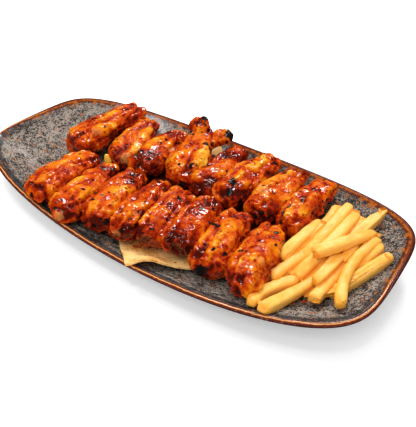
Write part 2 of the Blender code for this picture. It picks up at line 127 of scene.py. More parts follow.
class Value:
    """A number in a node tree. Arithmetic on it adds Math nodes."""

    def __init__(self, shader: "Shader", socket: Any) -> None:
        """Keeps the socket that gives the number."""
        self.shader = shader
        self.socket = socket

    def _math(self, operation: str, *inputs: Any) -> "Value":
        """Adds one Math node over the inputs."""
        made = self.shader.node("ShaderNodeMath", {"operation": operation}, dict(enumerate(inputs)))
        return Value(self.shader, made.outputs[0])

    def __add__(self, other: Any) -> "Value":
        """self + other."""
        return self._math("ADD", self, other)

    __radd__ = __add__

    def __sub__(self, other: Any) -> "Value":
        """self - other."""
        return self._math("SUBTRACT", self, other)

    def __rsub__(self, other: Any) -> "Value":
        """other - self."""
        return self._math("SUBTRACT", other, self)

    def __mul__(self, other: Any) -> "Value":
        """self * other."""
        return self._math("MULTIPLY", self, other)

    __rmul__ = __mul__

    def __truediv__(self, other: Any) -> "Value":
        """self / other."""
        return self._math("DIVIDE", self, other)

    def clamp(self) -> "Value":
        """Held between 0 and 1."""
        return self._math("MINIMUM", self._math("MAXIMUM", self, 0.0), 1.0)

    def highest(self, other: Any) -> "Value":
        """The larger of two numbers."""
        return self._math("MAXIMUM", self, other)

    def step(self, low: float, high: float) -> "Value":
        """A smooth step from 0 at low to 1 at high."""
        settings = {"interpolation_type": "SMOOTHSTEP"}
        inputs = {"Value": self, "From Min": low, "From Max": high, "To Min": 0.0, "To Max": 1.0}
        made = self.shader.node("ShaderNodeMapRange", settings, inputs)
        return Value(self.shader, made.outputs["Result"])


class Shader:
    """A material's node tree, built up a node at a time."""

    def __init__(self, name: str, **constants: Any) -> None:
        """Makes the material.

        Args:
            name: the material's name.
            constants: Principled BSDF sockets with one value all over, spaces as underscores.
        """
        self.material = bpy.data.materials.new(name)
        self.material.use_nodes = True
        self.tree = self.material.node_tree
        self.surface = self.tree.nodes["Principled BSDF"]
        for socket, value in constants.items():
            self.surface.inputs[socket.replace("_", " ")].default_value = value
        place = self.node("ShaderNodeTexCoord", {}, {})
        self.place = place.outputs["Object"]

    def node(self, kind: str, settings: dict[str, Any], inputs: dict[Any, Any]) -> Any:
        """Adds one node.

        Args:
            kind: the node's type.
            settings: its properties, set first.
            inputs: values or links for its sockets, by name or number.

        Returns:
            The node.
        """
        made = self.tree.nodes.new(kind)
        for name, value in settings.items():
            setattr(made, name, value)
        for key, value in inputs.items():
            self.feed(made.inputs[key], value)
        return made

    def feed(self, socket: Any, value: Any) -> None:
        """Sets a socket, or links it to a value or another socket."""
        if isinstance(value, Value):
            value = value.socket
        if isinstance(value, bpy.types.NodeSocket):
            self.tree.links.new(value, socket)
        elif isinstance(value, tuple) and len(value) == 3 and socket.type == "RGBA":
            socket.default_value = (*value, 1.0)
        else:
            socket.default_value = value

    def noise(self, per_metre: float, detail: float = 2.0, roughness: float = 0.5, warp: float = 0.0,
              stretch: tuple[float, float, float] = (1.0, 1.0, 1.0)) -> Value:
        """Noise over Object coordinates, centred near 0.5.

        Args:
            per_metre: features in each metre.
            detail: finer layers.
            roughness: their strength.
            warp: distortion.
            stretch: scale along each axis.

        Returns:
            The noise value.
        """
        mapping = self.node("ShaderNodeMapping", {}, {"Vector": self.place, "Scale": stretch})
        inputs = {"Vector": mapping.outputs[0], "Scale": per_metre, "Detail": detail,
                  "Roughness": roughness, "Distortion": warp}
        return Value(self, self.node("ShaderNodeTexNoise", {}, inputs).outputs["Fac"])

    def cells(self, per_metre: float, randomness: float = 1.0) -> tuple[Value, Value]:
        """Scattered points over Object coordinates.

        Args:
            per_metre: cells in each metre.
            randomness: how uneven the cells are.

        Returns:
            Distance from the nearest point in cells, and a random number for each cell.
        """
        inputs = {"Vector": self.place, "Scale": per_metre, "Randomness": randomness}
        made = self.node("ShaderNodeTexVoronoi", {}, inputs)
        split = self.node("ShaderNodeSeparateColor", {}, {0: made.outputs["Color"]})
        return Value(self, made.outputs["Distance"]), Value(self, split.outputs[0])

    def attribute(self, name: str) -> Value:
        """A number that the mesh carries at its points."""
        return Value(self, self.node("ShaderNodeAttribute", {"attribute_name": name}, {}).outputs["Fac"])

    def mix(self, share: Any, first: Any, second: Any) -> Any:
        """A colour between two colours, by a share from 0 to 1."""
        made = self.node("ShaderNodeMix", {"data_type": "RGBA"}, {0: share, 6: first, 7: second})
        return made.outputs[2]

    def ramp(self, value: Value, stops: Sequence[tuple[float, tuple[float, float, float]]]) -> Any:
        """A colour ramp.

        Args:
            value: the number that runs along it.
            stops: places from 0 to 1 and their colours.

        Returns:
            The colour socket.
        """
        made = self.node("ShaderNodeValToRGB", {}, {0: value})
        elements = made.color_ramp.elements
        while len(elements) < len(stops):
            elements.new(1.0)
        for element, (place, colour) in zip(elements, stops):
            element.position = place
        for element, (place, colour) in zip(elements, stops):
            element.color = (*colour, 1.0)
        return made.outputs[0]

    def bump(self, height: Value, depth: float, strength: float = 1.0) -> None:
        """Feeds the normal from a height.

        Args:
            height: from 0 to 1.
            depth: metres from 0 to 1.
            strength: share of the effect.
        """
        made = self.node("ShaderNodeBump", {}, {"Height": height, "Distance": depth, "Strength": strength})
        self.feed(self.surface.inputs["Normal"], made.outputs[0])

    def set(self, **values: Any) -> None:
        """Feeds the Principled BSDF's sockets, spaces as underscores."""
        for socket, value in values.items():
            self.feed(self.surface.inputs[socket.replace("_", " ")], value)


@dataclass(frozen=True)
class SpeckledGlaze:
    """Grey speckled stoneware glaze with a glossy mottled brown rim, a painted shade band inside the rim and a painted
    highlight line along its front.
    """

    dark: tuple[float, float, float] = (0.024, 0.021, 0.019)
    light: tuple[float, float, float] = (0.345, 0.288, 0.240)
    rust: tuple[float, float, float] = (0.36, 0.10, 0.018)
    blotch: tuple[float, float, float] = (0.38, 0.105, 0.012)
    # Painted shade: the dark band on the inner wall just inside the rim.
    painted_shade: tuple[float, float, float] = (0.018, 0.019, 0.024)
    maroon: tuple[float, float, float] = (0.10, 0.016, 0.006)
    # Painted highlight: a thin light line along the crest of the front rim.
    painted_highlight: tuple[float, float, float] = (0.86, 0.46, 0.18)
    mauve: tuple[float, float, float] = (0.26, 0.17, 0.17)

    @staticmethod
    def line(across: Value, place: float) -> Value:
        """1 on a thin line at a place across the rim, in mm, falling to 0 beside it."""
        off = across - place
        return (1 - off * off * 9.0).clamp()

    def material(self) -> bpy.types.Material:
        """Builds the material."""
        shader = Shader("speckled_glaze", Coat_Roughness=0.12, Specular_IOR_Level=0.04)
        grain = shader.noise(1000, 1.0, 0.6)
        coarse = shader.noise(430, 2.0, 0.6)
        cloud = shader.noise(24, 3.0, 0.6)
        dapple = shader.noise(135, 3.0, 0.65)
        level = (grain * 0.60 + coarse * 0.40 + (cloud - 0.5) * 0.24 + (dapple - 0.5) * 0.42).step(0.41, 0.61)
        ground = shader.mix(level, self.dark, self.light)
        rim = shader.attribute("rim")
        wander = shader.noise(60, 2.0, 0.6)
        streak = shader.noise(300, 2.0, 0.7)
        front = shader.attribute("front")
        across = (rim * (0.8 + front * 0.2) - (1 - front) * 1.8
                  + (wander - 0.5) * 1.6 + (streak - 0.5) * 1.2)
        # Painted shade: a dark band on the inner wall inside the rim, deeper at the front.
        reach = across - front * 3.0 - (wander - 0.5) * 6.0
        painted_shade_band = across.step(3.0, 5.0) * (1 - reach.step(4.5, 7.0))
        ground = shader.mix(painted_shade_band * (0.35 + 0.5 * front), ground, self.painted_shade)
        spot, which = shader.cells(190)
        size = 0.13 + 0.17 * which.step(0.4, 1.0)
        rusty = (size - spot + (coarse - 0.5) * 0.45).step(0.0, 0.08) * which.step(0.05, 0.12)
        ground = shader.mix(rusty * 0.9, ground, self.rust)
        small, pick = shader.cells(330)
        flecks = (0.22 - small + (coarse - 0.5) * 0.5).step(0.0, 0.08) * pick.step(0.22, 0.3)
        ground = shader.mix(flecks * 0.8, ground, self.rust)
        bands = shader.ramp(((across + 6.0) / 12.0).clamp(), (
            (0.0, (0.030, 0.012, 0.010)),
            (0.38, (0.060, 0.009, 0.005)),
            (0.44, (0.085, 0.012, 0.006)),
            (0.51, (0.075, 0.010, 0.006)),
            (0.56, (0.14, 0.020, 0.006)),
            (0.60, (0.40, 0.095, 0.011)),
            (0.625, (0.44, 0.115, 0.013)),
            (0.65, (0.36, 0.085, 0.010)),
            (0.70, (0.16, 0.035, 0.009)),
            (0.76, (0.030, 0.016, 0.016)),
        ))
        bands = shader.mix(streak.step(0.47, 0.58) * (1 - front * 2).clamp() * 0.8, bands, self.maroon)
        # A painted highlight line along the front rim's crest.
        bands = shader.mix(self.line(across, 1.5) * front * 0.85, bands, self.painted_highlight)
        bands = shader.mix(self.line(across, -0.3) * front * 0.8, bands, self.mauve)
        inside = across.step(3.0, 4.2)
        under = shader.attribute("under")
        colour = shader.mix(inside * (1 - under), bands, ground)
        blotchy = (shader.noise(170, 3.0, 0.65).step(0.54, 0.60) * across.step(1.5, 2.5)
                   * (1 - across.step(3.6, 6.0)) * (1 - front) * (1 - under))
        colour = shader.mix(blotchy * 0.9, colour, self.blotch)
        glossy = 1 - inside
        wall = across.step(1.0, 3.0) * (1 - across.step(12.0, 16.0)) * (1 - front * 3).clamp() * wander.step(0.44, 0.50)
        roughness = 0.52 - 0.22 * glossy + (grain - 0.5) * 0.15
        shader.set(Base_Color=colour, Roughness=roughness, Coat_Weight=0.05 + glossy * (0.04 + 0.55 * front) + wall * 0.7)
        shader.bump(grain * 0.3 + coarse * 0.4 + dapple * 0.5, 0.0008, 0.6)
        return shader.material


@dataclass(frozen=True)
class ToastedBread:
    """Cream flatbread, browned in speckles and patches, soaked with sauce under the wings."""

    cream: tuple[float, float, float] = (0.90, 0.54, 0.20)
    tan: tuple[float, float, float] = (0.78, 0.37, 0.08)
    brown: tuple[float, float, float] = (0.40, 0.13, 0.025)
    soaked: tuple[float, float, float] = (0.10, 0.012, 0.004)

    def material(self) -> bpy.types.Material:
        """Builds the material."""
        shader = Shader("toasted_bread", Specular_IOR_Level=0.15)
        patch = shader.noise(55, 3.0, 0.6, 0.4)
        fine = shader.noise(480, 2.0, 0.7)
        colour = shader.mix(patch.step(0.44, 0.66), self.cream, self.tan)
        speckle = (fine + (patch - 0.5) * 0.9).step(0.53, 0.68)
        colour = shader.mix(speckle * 0.6, colour, self.brown)
        soak = (shader.attribute("soak") + (patch - 0.5) * 0.6).step(0.35, 0.65)
        colour = shader.mix(soak, colour, self.soaked)
        shader.set(Base_Color=colour, Roughness=0.75 + (fine - 0.5) * 0.2, Coat_Weight=soak * 0.6)
        shader.bump(fine * 0.6 + patch * 0.4, 0.0006, 0.7)
        return shader.material


@dataclass(frozen=True)
class GlazedSkin:
    """Roasted skin under a glossy red sauce, golden on its ridges and charred in spots; painted shade darkens it low
    down, and pale patches show flesh and bone, some of them painted highlights.
    """

    tones: tuple[tuple[float, tuple[float, float, float]], ...] = (
        (0.00, (0.070, 0.005, 0.002)),
        (0.12, (0.190, 0.009, 0.001)),
        (0.28, (0.380, 0.022, 0.001)),
        (0.44, (0.560, 0.066, 0.001)),
        (0.60, (0.650, 0.132, 0.002)),
        (0.80, (0.750, 0.245, 0.006)),
        (1.00, (0.860, 0.430, 0.045)),
    )
    dark: tuple[float, float, float] = (0.035, 0.006, 0.003)
    char: tuple[float, float, float] = (0.010, 0.006, 0.006)
    # Pale patches: bare flesh and bone, and some painted highlights.
    pale_flesh_and_highlight: tuple[float, float, float] = (0.80, 0.34, 0.09)
    chilli: tuple[float, float, float] = (0.30, 0.010, 0.004)

    def material(self) -> bpy.types.Material:
        """Builds the material."""
        shader = Shader("glazed_skin", Coat_Roughness=0.05, Coat_IOR=1.5, Specular_IOR_Level=0.05)
        # The ridge value carries painted shade too: it is lowered on the lower skin, between and under the wings.
        ridge_and_shade = shader.attribute("ridge_and_shade")
        golden = shader.attribute("golden")
        sauce = shader.attribute("sauce")
        broad = shader.noise(90, 3.0, 0.6, 0.6)
        fine = shader.noise(420, 3.0, 0.65, 0.4)
        grit = shader.noise(1100, 2.0, 0.6)
        wander = (broad - 0.5) * 0.60 + (fine - 0.5) * 0.70 + (grit - 0.5) * 0.30
        level = 0.13 + ridge_and_shade * 0.36 + golden * (0.10 + ridge_and_shade * 0.36) + wander - sauce * 0.26
        colour = shader.ramp(level.clamp(), self.tones)
        bits = shader.attribute("bits")
        colour = shader.mix(bits.step(0.15, 0.4) * 0.9, colour, self.chilli)
        fleck, which = shader.cells(330)
        flecks = (0.34 - fleck).step(0.0, 0.1) * which.step(0.80, 0.84)
        colour = shader.mix(flecks * 0.75, colour, self.dark)
        # Pale patches: bare flesh and bone, and some painted highlights.
        colour = shader.mix((shader.attribute("pale_flesh_and_highlight") + (fine - 0.5)).step(0.3, 1.0) * 0.38, colour, self.pale_flesh_and_highlight)
        burnt = shader.attribute("char")
        brown = burnt + (fine - 0.5) * 0.5
        colour = shader.mix(brown.step(0.18, 0.55) * 0.85, colour, self.dark)
        black = burnt + (grit - 0.5) * 0.45 + (fine - 0.5) * 0.4
        matt = black.step(0.5, 0.8)
        colour = shader.mix(matt, colour, self.char)
        wet = (broad + sauce * 0.3 + (fine - 0.5) * 0.5).step(0.46, 0.60)
        roughness = 0.48 - wet * 0.33 + (fine - 0.5) * 0.12 + matt * 0.25
        coat = (0.07 + wet * 0.93) * (1 - golden * 0.35) * (1 - matt * 0.4)
        shader.set(Base_Color=colour, Roughness=roughness, Coat_Weight=coat)
        shader.bump(fine * 0.6 + grit * 0.25 + broad * 0.3, 0.0011, 0.8)
        return shader.material


@dataclass(frozen=True)
class FriedPotato:
    """Pale golden fries, gold and cream at random, with cream painted highlights on their edges and browner at their
    tips.
    """

    gold: tuple[float, float, float] = (0.90, 0.38, 0.038)
    cream: tuple[float, float, float] = (0.93, 0.49, 0.085)
    # Also spread thin over the fry core, as painted shade between the fries.
    tip: tuple[float, float, float] = (0.62, 0.26, 0.04)

    def material(self) -> bpy.types.Material:
        """Builds the material."""
        shader = Shader("fried_potato", Coat_Roughness=0.3, Specular_IOR_Level=0.2)
        broad = shader.noise(110, 3.0, 0.6)
        fine = shader.noise(650, 3.0, 0.65)
        edge = shader.attribute("edge")
        end = shader.attribute("tip")
        # Cream and gold vary at random, and the cream on the edges is a painted highlight.
        colour = shader.mix((broad + edge * 0.4 + (fine - 0.5) * 0.3).step(0.35, 0.8), self.gold, self.cream)
        colour = shader.mix((end + (fine - 0.5) * 0.6 + (broad - 0.5) * 0.6).step(0.55, 1.15) * 0.7,
                            colour, self.tip)
        shader.set(Base_Color=colour, Roughness=0.48 + (fine - 0.5) * 0.2, Coat_Weight=0.15)
        shader.bump(fine * 0.5 + broad * 0.5, 0.0006, 0.6)
        return shader.material


@dataclass(frozen=True)
class Sauce:
    """A drop of thick red sauce."""

    colour: tuple[float, float, float] = (0.30, 0.035, 0.008)

    def material(self) -> bpy.types.Material:
        """Builds the material."""
        shader = Shader("sauce", Coat_Weight=1.0, Coat_Roughness=0.06)
        cloud = shader.noise(260, 2.0)
        colour = shader.mix(cloud.step(0.35, 0.7), self.colour, (0.52, 0.10, 0.015))
        shader.set(Base_Color=colour, Roughness=0.25 + cloud * 0.15)
        shader.bump(cloud, 0.0004, 0.4)
        return shader.material


@dataclass(frozen=True)
class YellowPepper:
    """A scrap of cooked yellow pepper."""

    colour: tuple[float, float, float] = (1.0, 0.60, 0.03)

    def material(self) -> bpy.types.Material:
        """Builds the material."""
        shader = Shader("yellow_pepper", Coat_Weight=0.6, Coat_Roughness=0.12)
        cloud = shader.noise(300, 2.0)
        shader.set(Base_Color=shader.mix(cloud, self.colour, (0.95, 0.60, 0.08)), Roughness=0.35 + cloud * 0.1)
        return shader.material


# ---------------------------------------------------------------- mesh helpers


def deselect() -> None:
    """Leaves nothing selected, in object mode."""
    if bpy.context.object and bpy.context.object.mode != "OBJECT":
        bpy.ops.object.mode_set(mode="OBJECT")
    bpy.ops.object.select_all(action="DESELECT")


def activate(piece: bpy.types.Object) -> None:
    """Selects one object alone."""
    deselect()
    piece.select_set(True)
    bpy.context.view_layer.objects.active = piece


def copy_of(node: str, name: str) -> bpy.types.Object:
    """A merged copy of a CAD node, in quads where its triangles pair up.

    Args:
        node: the CAD node.
        name: the new piece's name.

    Returns:
        The new object, not yet riding on a body.
    """
    piece = bpy.data.objects.new(name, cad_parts[node].data.copy())
    piece.data.name = name
    piece.data.materials.clear()
    bpy.context.scene.collection.objects.link(piece)
    activate(piece)
    bpy.ops.object.mode_set(mode="EDIT")
    bpy.ops.mesh.select_all(action="SELECT")
    bpy.ops.mesh.remove_doubles(threshold=0.00002)
    bpy.ops.mesh.tris_convert_to_quads()
    bpy.ops.object.mode_set(mode="OBJECT")
    return piece


def apply_modifier(piece: bpy.types.Object, kind: str, **settings: Any) -> None:
    """Adds a modifier and applies it at once."""
    activate(piece)
    made = piece.modifiers.new(kind.lower(), kind)
    for name, value in settings.items():
        setattr(made, name, value)
    bpy.ops.object.modifier_apply(modifier=made.name)


def subdivide(piece: bpy.types.Object, levels: int, simple: bool = False) -> None:
    """Subdivides a piece, rounding it unless simple."""
    kind = "SIMPLE" if simple else "CATMULL_CLARK"
    apply_modifier(piece, "SUBSURF", levels=levels, render_levels=levels, subdivision_type=kind)


def points_of(piece: bpy.types.Object) -> np.ndarray:
    """The piece's vertices, one row each."""
    found = np.empty(len(piece.data.vertices) * 3)
    piece.data.vertices.foreach_get("co", found)
    return found.reshape(-1, 3)


def normals_of(piece: bpy.types.Object) -> np.ndarray:
    """The piece's vertex normals, one row each."""
    found = np.empty(len(piece.data.vertices) * 3, np.float32)
    piece.data.vertex_normals.foreach_get("vector", found)
    return found.reshape(-1, 3).astype(float)


def set_points(piece: bpy.types.Object, points: np.ndarray) -> None:
    """Moves the piece's vertices."""
    piece.data.vertices.foreach_set("co", points.astype(np.float32).ravel())
    piece.data.update()


def set_attribute(piece: bpy.types.Object, name: str, values: np.ndarray) -> None:
    """Stores one number at each vertex."""
    layer = piece.data.attributes.new(name, "FLOAT", "POINT")
    layer.data.foreach_set("value", np.asarray(values, np.float32))


def dress(piece: bpy.types.Object, material: bpy.types.Material, slot: Slot, *nodes: str) -> None:
    """Gives a piece its material and body.

    Args:
        piece: the finished object.
        material: its material.
        slot: not used.
        nodes: the CAD nodes that it stands for.
    """
    deselect()
    piece.data.materials.clear()
    piece.data.materials.append(material)
    piece.data.polygons.foreach_set("use_smooth", np.ones(len(piece.data.polygons), bool))
    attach(piece, "root")
    if nodes:
        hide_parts(*nodes)
    LOG.info("%s: %d faces", piece.name, len(piece.data.polygons))


def join(pieces: Sequence[bpy.types.Object], name: str) -> bpy.types.Object:
    """Joins objects into one mesh."""
    deselect()
    for piece in pieces:
        piece.select_set(True)
    bpy.context.view_layer.objects.active = pieces[0]
    bpy.ops.object.join()
    pieces[0].name = name
    pieces[0].data.name = name
    return pieces[0]


# ---------------------------------------------------------------- plate


@dataclass
class Plate:
    """The oblong plate, smoothed, with its distance from the rim stored at each point."""

    levels: int = 2
    outline_step: float = 1.0  # mm between the places taken along the outline
    rim_band: float = 12.0  # mm in from the outline
    face_inset: float = 0.4  # mm, how far in the outer face may lean
    face_depth: float = 4.4  # mm, how far down the outer face goes

    def build(self) -> bpy.types.Object:
        """Makes and dresses the plate."""
        piece = copy_of("plate", "glazed_plate")
        subdivide(piece, self.levels)
        self.mark_rim(piece)
        dress(piece, SpeckledGlaze().material(), Slot.STONEWARE, "plate")
        return piece

    def outline(self, flat: np.ndarray) -> np.ndarray:
        """Places round the plate seen from above, evenly spaced.

        Args:
            flat: the plate's points from above, in mm.

        Returns:
            One place in each row.
        """
        hull = flat[convex_hull_2d([Vector(p) for p in flat])]
        steps = np.linalg.norm(np.roll(hull, -1, 0) - hull, axis=1)
        run = np.concatenate([[0], np.cumsum(steps)])
        closed = np.vstack([hull, hull[:1]])
        at = np.arange(0, run[-1], self.outline_step)
        return np.stack([np.interp(at, run, closed[:, 0]), np.interp(at, run, closed[:, 1])], -1)

    def mark_rim(self, piece: bpy.types.Object) -> None:
        """Stores mm in from the outline as rim, negative down the outside, with under and front."""
        points, normals = points_of(piece) / MM, normals_of(piece)
        outline = self.outline(points[:, :2])
        inset = np.empty(len(points))
        nearest = np.empty(len(points), int)
        for start in range(0, len(points), 2000):
            part = np.linalg.norm(points[start:start + 2000, None, :2] - outline[None], axis=2)
            nearest[start:start + 2000] = part.argmin(1)
            inset[start:start + 2000] = part.min(1)
        crest = np.zeros(len(outline))
        near = inset < self.rim_band
        np.maximum.at(crest, nearest[near], points[near, 2])
        reach = 6
        crest = np.max([np.roll(crest, shift) for shift in range(-reach, reach + 1)], axis=0)
        drop = np.where(near, crest[nearest] - points[:, 2], 0)
        face = (inset < self.face_inset) & (drop < self.face_depth)
        upper = (normals[:, 2] > 0.05) | face
        outer = face & (normals[:, 2] < 0.5)
        below = -np.abs(drop) - inset
        set_attribute(piece, "rim", np.where(outer | ~upper, below, inset))
        set_attribute(piece, "under", 1.0 - upper)
        set_attribute(piece, "front", rise(-points[:, 1], -30, 60))


# ---------------------------------------------------------------- flatbread


@dataclass(frozen=True)
class Pull:
    """A soft pull on the bread round a place: its plan position, reach and shift, in mm."""

    place: tuple[float, float]
    reach: float
    shift: tuple[float, float, float]


@dataclass
class Flatbread:
    """The thin square of bread, a little uneven."""

    unevenness: float = 0.5  # mm
    grain: float = 9.0  # mm
    wave: float = 1.1  # mm
    wave_length: float = 22.0  # mm
    pulls: tuple[Pull, ...] = (
        Pull((14.0, -94.0), 16.0, (4.2, -2.0, -1.0)),
        Pull((24.0, -79.0), 12.0, (1.0, -1.0, 4.5)),
        Pull((50.0, -58.0), 27.0, (6.5, -6.0, 1.5)),
    )
    free_line: tuple[float, float] = (-46.0, -28.0)  # mm, between which gaps turn soaked
    dry_slope: float = 0.35  # the line in front of which the bread stays dry, its slope
    dry_line: tuple[float, float] = (-54.0, -47.0)  # mm, and where it starts and ends
    dry_back: tuple[float, float] = (67.0, 74.0)  # mm, behind which its back corner stays dry

    def build(self, wings: Sequence[bpy.types.Object]) -> bpy.types.Object:
        """Makes and dresses the flatbread.

        Args:
            wings: the finished wings, whose sauce soaks it.

        Returns:
            The dressed bread.
        """
        piece = copy_of("flatbread", "toasted_flatbread")
        subdivide(piece, 3, simple=True)
        points, normals = points_of(piece), normals_of(piece)
        height = fractal(points / (self.grain * MM), 5) * self.unevenness * (normals[:, 2] > 0.3)
        moved = points + normals * (height * MM)[:, None]
        lift = fractal(points[:, :2] @ np.eye(2, 3) / (self.wave_length * MM), 6) + 0.5
        moved[:, 2] += np.maximum(lift, 0) * self.wave * MM
        edge = fractal(points / (7 * MM), 7, 2)[:, None] * normals * (np.abs(normals[:, 2:]) < 0.5)
        for pull in self.pulls:
            away = np.linalg.norm(points[:, :2] / MM - pull.place, axis=1)
            moved += np.exp(-(away / pull.reach) ** 2)[:, None] * np.array(pull.shift) * MM
        set_points(piece, moved + edge * 0.8 * MM)
        set_attribute(piece, "soak", self.soak(points / MM, wings))
        dress(piece, ToastedBread().material(), Slot.BREAD, "flatbread")
        return piece

    def soak(self, points: np.ndarray, wings: Sequence[bpy.types.Object]) -> np.ndarray:
        """How far each point is soaked with sauce: 1 under the wings, 0 on the free tip.

        Args:
            points: the bread's points, in mm.
            wings: the finished wings.

        Returns:
            One value for each point.
        """
        flat = np.concatenate([points_of(wing)[::6, :2] for wing in wings]) / MM
        tree = KDTree(len(flat))
        for index, place in enumerate(flat):
            tree.insert((place[0], place[1], 0), index)
        tree.balance()
        away = np.array([tree.find((place[0], place[1], 0))[2] for place in points])
        reach = 1.5 + 12 * rise(points[:, 1], self.free_line[0], self.free_line[1])
        dry = rise(points[:, 1] - self.dry_slope * points[:, 0], *self.dry_line)
        dry *= 1 - rise(points[:, 1], *self.dry_back)
        return (1 - rise(away - reach, 0.0, 2.5)) * dry


# ---------------------------------------------------------------- wings


@dataclass(frozen=True)
class Patch:
    """A place on a wing.

    along runs from 0 at the tail to 1 at the head; turn is degrees round the wing, 0 on its
    right flank and 90 on top; size is its width in mm and height how far it stands out in mm.
    """

    along: float
    turn: float
    size: float
    height: float = 0.0


@dataclass
class Skin:
    """The points of one wing while it is worked, and its own directions."""

    piece: bpy.types.Object
    seed: int
    points: np.ndarray = field(init=False)
    normals: np.ndarray = field(init=False)
    along: np.ndarray = field(init=False)
    turn: np.ndarray = field(init=False)
    local: np.ndarray = field(init=False)
    length: float = field(init=False)
    off: np.ndarray = field(init=False)
    side: np.ndarray = field(init=False)
    axis: np.ndarray = field(init=False)

    def __post_init__(self) -> None:
        """Reads the mesh and finds its axis."""
        self.points = points_of(self.piece)
        self.normals = normals_of(self.piece)
        middle = self.points.mean(0)
        _, _, axes = np.linalg.svd(self.points - middle, full_matrices=False)
        axis = axes[0] if axes[0][1] < 0 else -axes[0]
        side = np.cross((0, 0, 1), axis)
        side /= np.linalg.norm(side)
        up = np.cross(axis, side)
        self.local = (self.points - middle) @ np.stack([axis, side, up], -1) / MM
        reach = self.local[:, 0]
        self.length = float(np.ptp(reach))
        self.along = (reach - reach.min()) / self.length
        bins = np.clip((self.along * 24).astype(int), 0, 23)
        count = np.maximum(np.bincount(bins, minlength=24), 1)
        across = np.bincount(bins, self.local[:, 1], 24) / count
        height = np.bincount(bins, self.local[:, 2], 24) / count
        middles = (np.arange(24) + 0.5) / 24
        self.off = self.local[:, 1] - np.interp(self.along, middles, across)
        above = self.local[:, 2] - np.interp(self.along, middles, height)
        self.turn = np.degrees(np.arctan2(above, self.off))
        self.side = side
        self.axis = axis

    def distance(self, patch: Patch) -> np.ndarray:
        """Distance in mm of each point from a patch's middle."""
        miss = np.abs((self.turn - patch.turn + 180) % 360 - 180) / 60
        nearest = np.argmin(((self.along - patch.along) * 4) ** 2 + miss**2)
        return np.linalg.norm(self.local - self.local[nearest], axis=1)

    def scatter(self, count: int, sizes: tuple[float, float], rng: np.random.Generator) -> list[Patch]:
        """Random patches over the upper skin.

        Args:
            count: how many.
            sizes: least and most width in mm.
            rng: the source of chance.

        Returns:
            The patches.
        """
        return [
            Patch(rng.uniform(0.05, 0.97), rng.uniform(-35, 205), rng.uniform(*sizes))
            for _ in range(count)
        ]


